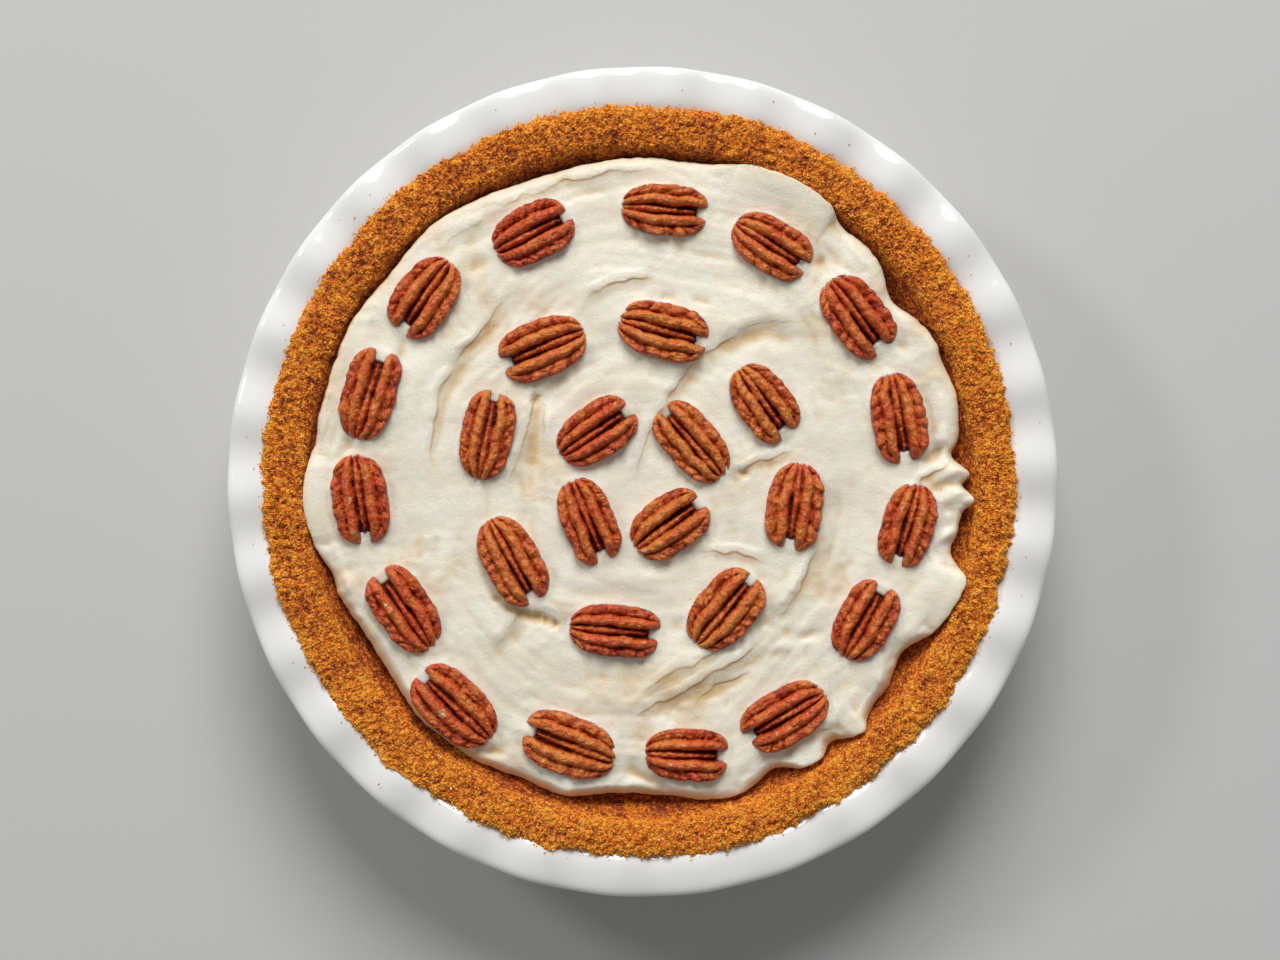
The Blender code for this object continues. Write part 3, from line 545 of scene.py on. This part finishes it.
def nearest_fold(x, y):
    """How far each place lies to the left of the nearest fold's foot, and how marked the fold is there."""
    best, marked = np.full(x.shape, 99.0), np.zeros(x.shape)
    for points, *_ in FOLDS + SMALL_FOLDS:
        side, taper = beside(x, y, smooth_line(points))
        near = np.abs(side) < np.abs(best)
        best, marked = np.where(near, side, best), np.where(near, taper, marked)
    return np.clip(best, -4.0, 4.0), marked * (1.0 - smoothstep(np.abs(best), 2.0, 3.5))


def contact_height(angle):
    """Height at which the cream's side meets the crust's inner wall, or the slope above it."""
    out = cream_edge(angle) - CREAM_UNDERCUT + 1.0 - crust_wall(CRUST_SHOULDER[1], angle)
    return CRUST_SHOULDER[1] + np.minimum(out / CRUST_WALL_SLOPE, 0.95 * out)


def cream_edge_height(angle):
    """Height of the cream's edge: level, but raised where the cream climbs the crust."""
    return np.maximum(CREAM_EDGE_HEIGHT, contact_height(angle) + CREAM_UNDERCUT)


def spread_height(x, y, rise, relief):
    """Height of the spread top; rise is 0 at the edge and 1 where its border has reached full height."""
    radius, angle = np.hypot(x, y), np.arctan2(y, x)
    foot = cream_edge_height(angle)
    wave = bumps(np.stack([x, y, np.full_like(x, 1.5 * CREAM_WAVE_SIZE)], axis=-1), CREAM_WAVE_SIZE, 0)
    crown = CREAM_CROWN * (1.0 - (radius / cream_edge(angle)) ** 2)
    level = CREAM_LEVEL + crown + CREAM_WAVE * wave + relief
    climb = np.maximum(foot + 0.6 - level, 0.0) * np.exp(-((cream_edge(angle) - radius) / CREAM_CLIMB) ** 2)
    return foot + (level + climb - foot) * rise


def plain_height(x, y):
    """Height of the top with its main folds alone, as the frame has it."""
    inward = np.clip((cream_edge(np.arctan2(y, x)) - np.hypot(x, y)) / CREAM_ROLL, 0.0, 1.0)
    return spread_height(x, y, np.sqrt(1.0 - (1.0 - inward) ** 2), fold_relief(x, y, FOLDS))


def worked_out(look, operation, *values, **options):
    """The outcome of one sum on values and numbers."""
    return node(look, "Math", 0, dict(enumerate(values)), operation=operation, **options)


# Where each pecan half lies: x, y, turn from +X to its split end, length, width, and how golden it is.
PECANS = (
    (-15, 16, 34, 28, 17.5, .3), (16, 12.5, 131, 30.5, 17, 1.0), (-17.5, -12.5, 292, 29, 17, .3),
    (8.5, -14, 36, 27.5, 18.5, .7),
    (-50, 15, 79, 29.5, 17, .7), (-32, 43, 202, 29.5, 18.5, .65), (6.5, 48.5, 345, 30, 18, .95),
    (39, 25.5, 306, 27.5, 17.5, .95), (49, -8, 262, 29, 18, .5), (26.5, -41.5, 50, 29.5, 19, .85),
    (-9, -48, 355, 30, 17, .1), (-42, -25.5, 299, 31, 18, .75),
    (-88, 28, 73, 30.5, 17.5, .4), (-70, 59.5, 235, 28.5, 18.5, .5), (-35.5, 80, 27, 28, 18.5, .05),
    (7, 87.5, 355, 28.5, 16.5, .65), (41.5, 76, 328, 28, 17.5, .5), (69, 53.5, 307, 29.5, 18.5, .2),
    (82.5, 20.5, 280, 30, 17.5, .35), (85.5, -14, 254, 28, 17, .35), (71.5, -45, 61, 27.5, 18, .35),
    (46, -75.5, 210, 30.5, 18, .3), (14, -88, 358, 27.5, 17, .5), (-23.5, -85, 160, 32, 19, .85),
    (-60.5, -72.5, 137, 32, 19, .35), (-76.5, -41.5, 125, 30.5, 18, .25), (-91, -5.5, 278, 29.5, 18, .0),
)
PECAN_HEIGHT = 9.0
PECAN_SINK = 4.0
PECAN_ROUND_END, PECAN_SPLIT_END = 2.6, 3.6     # how full the outline is at either end


def pecan_place(pecan):
    """Middle, unit vectors along and across, and the height and slopes of a pecan's seat."""
    x, y, turn, length, width, _ = pecan
    x, y, turn = x * SEEN_SCALE, y * SEEN_SCALE, math.radians(turn)
    along = np.array((math.cos(turn), math.sin(turn)))
    across = np.array((-along[1], along[0]))
    ahead, aside = 0.3 * length * along, 0.3 * width * across
    steps = np.array((ahead, -ahead, aside, -aside))
    front, back, left, right = plain_height(x + steps[:, 0], y + steps[:, 1])
    floor = (front + back + left + right) / 4.0 - PECAN_SINK
    rise = math.tan(math.atan2(front - back, 0.6 * length) / 2.0)
    lean = math.tan(math.atan2(left - right, 0.6 * width) / 2.0)
    return np.array((x, y)), along, across, floor, rise, lean


# The top is a square grid bent round: each square ring of its points becomes a ring of the pie, and the
# outermost rings lie on the rounded border.
side = np.linspace(-1.0, 1.0, CREAM_GRID)
u, v = np.meshgrid(side, side, indexing="xy")
ring_share = np.maximum(np.abs(u), np.abs(v))
flat = np.abs(u) >= np.abs(v)
longer, shorter = np.where(flat, u, v), np.where(flat, v, u)
quarter = math.pi / 4.0 * shorter / np.where(longer == 0, 1, longer)
angle = np.where(flat, quarter + np.where(u < 0, math.pi, 0.0),
                 math.pi / 2.0 - quarter + np.where(v < 0, math.pi, 0.0))
bend = np.clip((ring_share - 1.0 + CREAM_ROLL_SHARE) / CREAM_ROLL_SHARE, 0.0, 1.0) * math.pi / 2.0
fine_edge = cream_edge(angle) + 0.7 * np.abs(round_bumps(angle, 34, 21.0))
fine_edge = fine_edge + 0.25 * round_bumps(angle, 130, 22.0) - 0.2
inner = np.clip(ring_share / (1.0 - CREAM_ROLL_SHARE), 0.0, 1.0)
radius = inner * (fine_edge - CREAM_ROLL) + CREAM_ROLL * np.sin(bend)
x, y = radius * np.cos(angle), radius * np.sin(angle)

# Folds and ridges first. They waver, because torn cream never parts along a clean line.
flat_spots = np.stack([x, y, 0.0 * x], axis=-1)
waver_x, waver_y = (1.3 * bumps(flat_spots, 9.0, seed) + bumps(flat_spots, 3.6, seed + 1)
                    for seed in (15, 17))
relief = fold_relief(x + waver_x, y + waver_y, FOLDS, share=0.64, wider=1.25)
relief += fold_relief(x + waver_x, y + waver_y, SMALL_FOLDS)
for points, height, width in RIDGES:
    away, taper = beside(x, y, smooth_line(points))
    relief += height * taper * np.exp(-(away / max(width, FINEST_RIDGE)) ** 2)
around = sum(cream_edge(angle + math.radians(step)) for step in (-5.0, -2.5, 2.5, 5.0)) / 4.0
tip = around - cream_edge(angle)
joint = np.clip(0.4 * tip, -0.35, 0.9)                              # lobes swell and part in creases
relief -= joint * smoothstep(radius, fine_edge - 10.0, fine_edge - 3.0)
for _ in range(2):                                                  # no crease narrower than the grid
    relief[1:-1] = 0.25 * relief[:-2] + 0.5 * relief[1:-1] + 0.25 * relief[2:]
    relief[:, 1:-1] = 0.25 * relief[:, :-2] + 0.5 * relief[:, 1:-1] + 0.25 * relief[:, 2:]

# Strokes of the spatula run roughly round the pie: long soft ridges, with finer lines along them.
drift = radius + 14.0 * bumps(flat_spots, 45.0, 5)
stroke = np.stack([2.4 * np.cos(angle), 2.4 * np.sin(angle), drift / 7.0], axis=-1)
relief += 0.8 * bumps(stroke, 1.0, 5) * smoothstep(radius, 12.0, 40.0)
fine_stroke = np.stack([3.6 * np.cos(angle), 3.6 * np.sin(angle), drift / 2.6], axis=-1)
relief += 0.25 * bumps(fine_stroke, 1.0, 6) * smoothstep(radius, 12.0, 40.0)
rough = smoothstep(bumps(flat_spots, 22.0, 13), -0.1, 0.3)          # where the spatula has torn it
relief += 0.5 * bumps(flat_spots, 13.0, 8) + (0.15 + 0.25 * rough) * bumps(flat_spots, 5.0, 14)
relief += (0.07 + 0.14 * rough) * bumps(flat_spots, 2.6, 7)
torn_lobes = smoothstep(np.cos(angle + math.radians(35.0)), 0.5, 0.8)      # those at the near right
torn_lobes = torn_lobes * smoothstep(radius, fine_edge - 14.0, fine_edge - 6.0)
relief += torn_lobes * (0.5 * bumps(flat_spots, 6.5, 31) + 0.25 * bumps(flat_spots, 3.5, 32))

# The border is thin and flat on the far side. On the near side it is a steep facet under a crisp crest.
facet = smoothstep(np.cos(angle - math.radians(262.0)), 0.1, 0.6)
inward = 1.0 - np.sin(bend)
width = 1.0 - facet * (0.35 + 0.35 * round_bumps(angle, 22, 23.0))
blunt = smoothstep(-tip, 0.6, 2.2)                          # narrow lobes are flat, with a blunt end
width, full = width * (1.0 - 0.5 * blunt), 3.4 - 2.1 * facet + 1.2 * blunt
reached = (1.0 - (1.0 - np.minimum(inward / width, 1.0)) ** full) ** (1.0 / full)
z = spread_height(x, y, reached, relief)

# The pecans have pressed the cream down under them and up a little round them.
for pecan in PECANS:
    middle, along, across, floor, rise, lean = pecan_place(pecan)
    length, width = pecan[3:5]
    from_x, from_y = x - middle[0], y - middle[1]
    p, q = from_x * along[0] + from_y * along[1], from_x * across[0] + from_y * across[1]
    full = np.where(p > 0.0, PECAN_SPLIT_END, PECAN_ROUND_END)
    ring_at = (np.abs(2.0 * p / length) ** full + (2.0 * q / width) ** 2) ** 0.5
    out = (ring_at - 0.86) * 0.5 * width
    z += 0.45 * np.exp(-(np.maximum(out, 0.0) / 1.8) ** 2)
    seat = floor + p * rise + q * lean - 0.25
    notch = smoothstep(p / length, 0.32, 0.38) * np.exp(-(2.0 * q / width / 0.34) ** 6)
    under = (1.0 - smoothstep(out, -0.7, 0.1)) * (1.0 - notch)      # cream fills the split end
    z = np.where(z > seat, z + (seat - z) * under, z)

torn = np.zeros(z.shape)
for spot_x, spot_y, reach in POCKETS:
    torn += np.exp(-((x + waver_x - spot_x) ** 2 + (y + waver_y - spot_y) ** 2) / reach ** 2)
z -= 1.4 * np.minimum(torn, 1.0)

# Painted shade: how deep each place lies below the cream round it, 1 in a sharp crease, 0 on open cream, is
# painted as a warm tan. The border gets it too, painted as warm light coming back off the crumb beside it,
# and the steep near facet as painted shade.
hollow = np.zeros(z.shape)
for cells, depth, share in ((3, 0.35, 0.6), (9, 1.0, 0.4)):
    mean = z
    for axis in (0, 1):
        mean = sum(np.roll(mean, step, axis) for step in range(-cells, cells + 1)) / (2.0 * cells + 1.0)
    shade_amount = share * np.clip((mean - z - 0.18 * depth) / depth, 0.0, 1.0)
    shade_amount[:cells], shade_amount[-cells:], shade_amount[:, :cells], shade_amount[:, -cells:] = 0.0, 0.0, 0.0, 0.0
    hollow += shade_amount
warmed = 0.55 * (1.0 - inward) ** 3 * (1.0 - facet) + 0.7 * facet * smoothstep(1.0 - reached, 0.05, 0.6)
# painted shade in the torn pockets too
hollow = np.maximum(np.maximum(hollow, warmed), torn)
fold, marked = nearest_fold(x + waver_x, y + waver_y)
# painted shade along the low side of each fold's foot
hollow += 0.22 * marked * np.exp(-((fold + 1.4) / 1.5) ** 2)
hollow += 0.3 * rough * smoothstep(bumps(flat_spots, 9.0, 19), 0.0, 0.4)     # painted shade: torn patches are tinted tan
near_side_shade = np.exp(-((x - 4.0) / 22.0) ** 2 - ((y + 66.0) / 8.0) ** 2)        # painted shade: a tan patch on the cream at the near side
hollow += (0.5 + 0.5 * bumps(flat_spots, 5.0, 41)) * near_side_shade
hollow = np.clip(hollow, 0.0, 1.0)

# Under the top's border the side goes down, tucked in a little, to the crust's wall and floor.
n = CREAM_GRID
top = np.stack([x, y, z], axis=-1).reshape(-1, 3)
row, column = np.meshgrid(np.arange(n - 1), np.arange(n - 1), indexing="ij")
corner = (row * n + column).ravel()
faces = np.stack([corner, corner + 1, corner + n + 1, corner + n], axis=-1).tolist()
border = (list(range(n)) + [i * n + n - 1 for i in range(1, n)]
          + [n * n - 1 - i for i in range(1, n)] + [(n - 1 - i) * n for i in range(1, n - 1)])
edge_angle = np.arctan2(top[border, 1], top[border, 0])
edge_radius, edge_height = np.hypot(top[border, 0], top[border, 1]), top[border, 2]
contact = contact_height(edge_angle)
sides = []
for share in (0.12, 0.3, 0.55, 0.8, 1.0):
    foot = np.minimum(edge_radius, cream_edge(edge_angle)) - 0.15 - CREAM_UNDERCUT
    radius = edge_radius - 0.1 + (foot - edge_radius) * share ** 2
    sides.append(turned(radius, edge_height + (contact - edge_height) * share, edge_angle))
side = np.minimum(contact, CRUST_SHOULDER[1]) - 0.5
sides.append(turned(crust_wall(side, edge_angle) - 0.6, side, edge_angle))
sides.append(turned(crust_wall(16.0, edge_angle) - 0.6, 15.6, edge_angle))
sides.append(turned(crust_wall(16.0, edge_angle) - 5.6, CRUST_FLOOR + 0.3, edge_angle))
body = np.vstack([top, np.array(sides).reshape(-1, 3), [(0.0, 0.0, CRUST_FLOOR + 0.3)]])
count = len(border)
loops = [border] + [list(len(top) + level * count + np.arange(count)) for level in range(len(sides))]
for upper, lower in zip(loops, loops[1:]):
    faces += [[upper[i], lower[i], lower[(i + 1) % count], upper[(i + 1) % count]] for i in range(count)]
faces += [[loops[-1][i], len(body) - 1, loops[-1][(i + 1) % count]] for i in range(count)]

# Whipped cream: ivory that light sinks into, with its creases, pockets, fold feet and shaded border painted
# a warm tan as shade. Satin where the spatula has smoothed the fat, dented and finely pitted where it has
# torn it, with a sharp lip along each fold.
cream, shader = new_look("whipped_cream_spread")
place = node(cream, "TexCoord", "Object", {})
cloud = node(cream, "TexNoise", "Fac", {"Vector": place, "Scale": 1.0 / (14 * MM), "Detail": 3.0})
fold_here = point_value(cream, "fold")
marked_here = point_value(cream, "marked")
broken = node(cream, "MapRange", "Result", {"Value": cloud, "From Min": 0.35, "From Max": 0.6})
marked_here = worked_out(cream, "MULTIPLY", marked_here, broken)
foot = worked_out(cream, "ADD", fold_here, 0.3)
foot = worked_out(cream, "ABSOLUTE", foot)
foot = node(cream, "MapRange", "Result", {
    "Value": foot, "From Min": 0.0, "From Max": 0.9, "To Min": 0.5, "To Max": 0.0})
# painted shade: the warm tan is mixed in where the top is marked as shaded and along each fold's foot
shade_amount = point_value(cream, "hollow")
shade_amount = worked_out(cream, "MULTIPLY_ADD", foot, marked_here, shade_amount, use_clamp=True)
step = node(cream, "MapRange", "Result", {"Value": fold_here, "From Min": -0.5, "From Max": 0.3},
            interpolation_type="SMOOTHSTEP")
step = worked_out(cream, "MULTIPLY", step, marked_here)
ivory = node(cream, "ValToRGB", "Color", {"Fac": cloud}, stops=((0.3, "#EDE6D4"), (0.7, "#F3EFE0")))
ivory = node(cream, "Mix", 2, {"Factor": shade_amount, 6: ivory, 7: colour("#DFC292")}, data_type="RGBA")
dents = node(cream, "TexNoise", "Fac", {"Vector": place, "Scale": 1.0 / (2.4 * MM), "Detail": 3.0})
pits = node(cream, "TexNoise", "Fac", {"Vector": place, "Scale": 1.0 / (0.7 * MM), "Detail": 2.0})
relief = node(cream, "Bump", "Normal", {"Height": dents, "Strength": 0.45, "Distance": 0.5 * MM})
relief = node(cream, "Bump", "Normal", {
    "Height": pits, "Strength": 0.6, "Distance": 0.24 * MM, "Normal": relief})
relief = node(cream, "Bump", "Normal", {
    "Height": step, "Strength": 0.75, "Distance": 0.5 * MM, "Normal": relief})
gloss = node(cream, "MapRange", "Result", {
    "Value": cloud, "From Min": 0.3, "From Max": 0.7, "To Min": 0.36, "To Max": 0.52})
set_inputs(cream, shader, {
    "Base Color": ivory, "Roughness": gloss, "Normal": relief, "IOR": 1.4, "Subsurface Weight": 0.8,
    "Subsurface Radius": (1.0, 0.62, 0.3), "Subsurface Scale": 1.7 * MM})
below = len(body) - len(top)
hollow, fold, marked = (np.append(value.ravel(), np.zeros(below)) for value in (hollow, fold, marked))
add_piece("cream_spread", body, faces, cream, "whipped_cream", "cream",
          hollow=hollow, fold=fold, marked=marked)


# --- Pecan halves ---------------------------------------------------------------------------------
# Shelled pecan halves, pressed into the cream with their ridged backs up. Two long furrows run beside
# a low middle strip, a knobbly border goes round, and one end is split.

PECAN_STATIONS, PECAN_TOP_POINTS, PECAN_BASE_POINTS = 68, 58, 10

# Pecan skin: thin, reddish brown and satin. It is golden in patches on the lobes, lighter on the crests and
# near black in the furrows and wrinkles, partly its own darker skin and partly painted light and shade, and
# a few pale chips show where it has flaked off.
skin, shader = new_look("pecan_skin_dry")
place = node(skin, "TexCoord", "Object", {})
crest = point_value(skin, "crest")
tone = point_value(skin, "tone")
along_here = point_value(skin, "along")
across_here = point_value(skin, "across")
mottle = node(skin, "TexNoise", "Fac", {"Vector": place, "Scale": 1.0 / (2.2 * MM), "Detail": 4.0})
grain = node(skin, "CombineXYZ", "Vector", {"X": along_here, "Y": across_here, "Z": tone})
wrinkle = node(skin, "TexNoise", "Fac", {
    "Vector": grain, "Scale": 1.0, "Detail": 4.0, "Distortion": 0.9})
# painted light and shade: the skin runs from dark in wrinkles and furrows to light on the crests, over a
# random mottle
mottle_and_shade = worked_out(skin, "MULTIPLY_ADD", mottle, 0.4, -0.75)
mottle_and_shade = worked_out(skin, "MULTIPLY_ADD", wrinkle, 1.3, mottle_and_shade)
mottle_and_shade = worked_out(skin, "ADD", mottle_and_shade, crest)
red = node(skin, "ValToRGB", "Color", {"Fac": mottle_and_shade}, stops=(
    (0.05, "#3E0D07"), (1.00, "#D45C2C"), (0.35, "#902A12"), (0.65, "#B9411B")))
gold = node(skin, "ValToRGB", "Color", {"Fac": mottle_and_shade}, stops=(
    (0.05, "#431006"), (1.00, "#DD8238"), (0.35, "#993412"), (0.65, "#C3541F")))
patch = node(skin, "TexNoise", "Fac", {"Vector": place, "Scale": 1.0 / (7.5 * MM), "Detail": 1.0})
patch = worked_out(skin, "MULTIPLY_ADD", patch, 3.0, -1.5)
golden = worked_out(skin, "ADD", patch, tone, use_clamp=True)
hue = node(skin, "Mix", 2, {"Factor": golden, 6: red, 7: gold}, data_type="RGBA")
flake = node(skin, "TexNoise", "Fac", {"Vector": place, "Scale": 1.0 / (6.0 * MM), "Detail": 2.0})
flake = worked_out(skin, "MULTIPLY", flake, crest)
flake = node(skin, "MapRange", "Result", {"Value": flake, "From Min": 0.66, "From Max": 0.69})
hue = node(skin, "Mix", 2, {"Factor": flake, 6: hue, 7: colour("#D9AC78")}, data_type="RGBA")
relief = node(skin, "Bump", "Normal", {"Height": wrinkle, "Strength": 1.0, "Distance": 1.3 * MM})
set_inputs(skin, shader, {"Base Color": hue, "Normal": relief, "Roughness": 0.33, "IOR": 1.47})


def rounded(across, middle, half, top, drop):
    """Height of a long rounded lobe of a pecan, in shares of its size."""
    q = np.minimum(np.abs(across - middle) / half, 1.0)
    fall = drop * (1.0 - (1.0 - q ** 2.4) ** (1.0 / 2.4))
    return top - fall - 2.0 * np.maximum(np.abs(across - middle) - half, 0.0)


def knobs(places, size, seed):
    """Rounded lumps that meet in creases: 0 in a crease, 1 on top of a lump."""
    return 1.0 - (1.0 - np.minimum(3.2 * np.abs(bumps(places, size, seed)), 1.0)) ** 2


for number, pecan in enumerate(PECANS, start=1):
    middle, along, across, floor, rise, lean = pecan_place(pecan)
    length, width, golden_share = pecan[3:]
    station = np.sin(np.linspace(-1.0, 1.0, PECAN_STATIONS) * math.pi / 2.0)[1:-1, None]
    fullness = np.where(station > 0.0, PECAN_SPLIT_END, PECAN_ROUND_END)
    swell = np.sqrt(1.0 - np.abs(station) ** fullness)
    ahead = 0.5 * length * station
    sweep = np.linspace(-1.0, 1.0, PECAN_TOP_POINTS)
    sweep = np.sin(sweep * math.pi / 2.0 * 0.8) / math.sin(math.pi / 2.0 * 0.8)
    v = sweep[None, :] + 0.0 * station
    half = np.abs(v)
    lobe = np.where(v < 0.0, 40.0, 80.0)
    spots = np.stack([ahead + 0.0 * v, lobe, number + 0.0 * v], axis=-1)
    wander, ripple = 0.08 * bumps(spots, 5.5, number), bumps(spots, 3.4, number + 9)
    flat = np.stack([ahead + 0.0 * v, 0.5 * width * v, 10.0 * number + 0.0 * v], axis=-1)
    skew = np.stack([ahead - 4.0 * half, lobe + 5.0 * half, number + 0.0 * v], axis=-1)
    knob = knobs(skew, 3.0 + 0.4 * (number * 7 % 5), number)
    cross = knobs(skew * (1.0, 0.4, 1.0), 2.3, number + 50)
    crease = knobs(skew * (1.0, 0.3, 1.0), 1.4, number + 70)
    rough = 0.05 * bumps(flat, 2.0, number) + 0.05 * bumps(flat, 1.1, number) + 0.06 * crease
    toward_split, at_split = smoothstep(station, -0.5, 0.75), smoothstep(station, 0.6, 0.95)
    strip = rounded(half, 0.0, 0.13 - 0.05 * toward_split, 0.86 - 0.15 * toward_split - 0.3 * at_split, 0.28)
    inner = rounded(half, 0.395 + wander, 0.215, 0.96 + 0.045 * ripple + 0.03 * cross, 0.45)
    outer = rounded(half, 0.81 + 0.6 * wander, 0.20, 0.69 + 0.09 * ripple + 0.14 * knob, 0.30)
    tip = rounded(half, 0.60, 0.42, 0.86 + 0.04 * ripple + 0.04 * cross, 0.55)
    lobes = np.maximum(inner, outer)
    lobes += (tip - lobes) * smoothstep(station, 0.68, 0.93)
    low = 0.32 - 0.12 * at_split + 0.42 * (1.0 - smoothstep(station, -0.96, -0.66)) * (half < 0.6)
    lift = np.maximum(np.maximum(strip, lobes), low) + rough
    # painted light and shade: crest sets how light the skin is coloured, high on the lobes and low in the
    # furrows
    crest = np.clip((lift - 0.50) / 0.46, 0.0, 1.0) * (0.68 + 0.16 * cross + 0.16 * crease)
    outside = 0.28 + 0.36 * knob + 0.16 * crease + 0.16 * ripple - 1.5 * np.maximum(half - 0.9, 0.0)
    crest = np.where(outer >= lift - rough, np.clip(outside, 0.0, 1.0), crest)
    scallop = 1.0 + (0.04 * ripple + 0.04 * (knob - 0.6)) * smoothstep(half, 0.55, 1.0)
    lift = PECAN_HEIGHT * lift * swell ** 0.55

    # At the split end the two halves part, and one of them is often shorter than the other.
    gap = 0.09 + 0.04 * (number * 3 % 5)
    apart = gap * (1.0 - swell) * (station > 0.0) * smoothstep(half, 0.05, 0.18)
    side = 0.5 * width * (v * swell * scallop + np.sign(v) * apart)
    short = 0.10 * noise.noise((number * 3.7, 0.0, 0.0)) * np.sign(v)
    front = ahead * (1.0 - np.maximum(short, 0.0) * smoothstep(station, 0.2, 1.0))
    front = front - (0.02 + 0.25 * gap) * length * at_split * (1.0 - smoothstep(half, 0.08, 0.2))
    base = np.linspace(1.0, -1.0, PECAN_BASE_POINTS + 2)[None, 1:-1] + 0.0 * station
    base_side = 0.5 * width * base * (0.72 + 0.2 * np.abs(base)) * swell
    base_lift = 0.30 * PECAN_HEIGHT * np.abs(base) ** 4 * swell ** 0.55
    loop = np.stack([np.concatenate([front, ahead + 0.0 * base], axis=1),
                     np.concatenate([side, base_side], axis=1),
                     np.concatenate([lift, base_lift], axis=1)], axis=-1)
    flat = loop[..., 0, None] * along + loop[..., 1, None] * across + middle
    z = floor + loop[..., 0] * rise + loop[..., 1] * lean + loop[..., 2]
    body = np.concatenate([flat, z[..., None]], axis=-1)
    rows, columns = body.shape[:2]
    ends = np.array([body[0].mean(axis=0), body[-1].mean(axis=0)])
    faces = closed_faces(rows, columns)
    crest = np.concatenate([crest, np.full((rows, PECAN_BASE_POINTS), 0.3)], axis=1)
    wrinkles = np.stack([loop[..., 0] / 1.7, loop[..., 1] / 1.3 + 7.0 * number], axis=-1).reshape(-1, 2)
    wrinkles = np.vstack([wrinkles, wrinkles[:1], wrinkles[-1:]])
    add_piece(f"pecan_half_{number:02d}", np.vstack([body.reshape(-1, 3), ends]), faces, skin, "pecan",
              f"pecan_{number:02d}", crest=np.append(crest.ravel(), [0.3, 0.3]), along=wrinkles[:, 0],
              across=wrinkles[:, 1], tone=np.full(rows * columns + 2, golden_share))


# --- Setting --------------------------------------------------------------------------------------
# A plain pale floor, two soft studio lamps from the far side and the far left, and a camera straight
# above the dish.

RIM_CREST = 48.0
CAMERA_DISTANCE = 975.0
mesh = bpy.data.meshes.new("floor")
mesh.from_pydata([(-2, -2, 0), (2, -2, 0), (2, 2, 0), (-2, 2, 0)], [], [(0, 1, 2, 3)])
floor = bpy.data.objects.new("floor", mesh)
bpy.context.scene.collection.objects.link(floor)
paint, shader = new_look("pale_floor")
set_inputs(paint, shader, {"Base Color": colour("#C9C8C6"), "Roughness": 0.6})
mesh.materials.append(paint)
floor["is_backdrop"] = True

# Each lamp's turn from +X and height in degrees, distance and size in metres, and power in watts.
for name, azimuth, elevation, distance, size, power in (
        ("lamp_far_left", 147.0, 36.0, 3.0, 0.54, 17.4), ("lamp_far_side", 88.0, 42.0, 3.0, 1.7, 79.0)):
    light = bpy.data.lights.new(name, "AREA")
    light.shape, light.size, light.energy = "DISK", size, power
    lamp = bpy.data.objects.new(name, light)
    bpy.context.scene.collection.objects.link(lamp)
    turn, rise = math.radians(azimuth), math.radians(elevation)
    away = Vector((math.cos(turn) * math.cos(rise), math.sin(turn) * math.cos(rise), math.sin(rise)))
    lamp.location = away * distance
    lamp.rotation_mode = "QUATERNION"
    lamp.rotation_quaternion = away.to_track_quat("Z", "Y")

world = bpy.data.worlds.new("studio")
world.use_nodes = True
world.node_tree.nodes["Background"].inputs["Color"].default_value = colour("#FFFFFF")
world.node_tree.nodes["Background"].inputs["Strength"].default_value = 0.21
bpy.context.scene.world = world
bpy.context.scene.view_settings.view_transform = "Standard"

lens = bpy.data.cameras.new("camera")
lens.lens, lens.sensor_width = 85.0, 36.0
camera = bpy.data.objects.new("camera", lens)
bpy.context.scene.collection.objects.link(camera)
camera.location = (-0.84 * MM, 0.52 * MM, (RIM_CREST + CAMERA_DISTANCE) * MM)
bpy.context.scene.camera = camera

low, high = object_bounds()
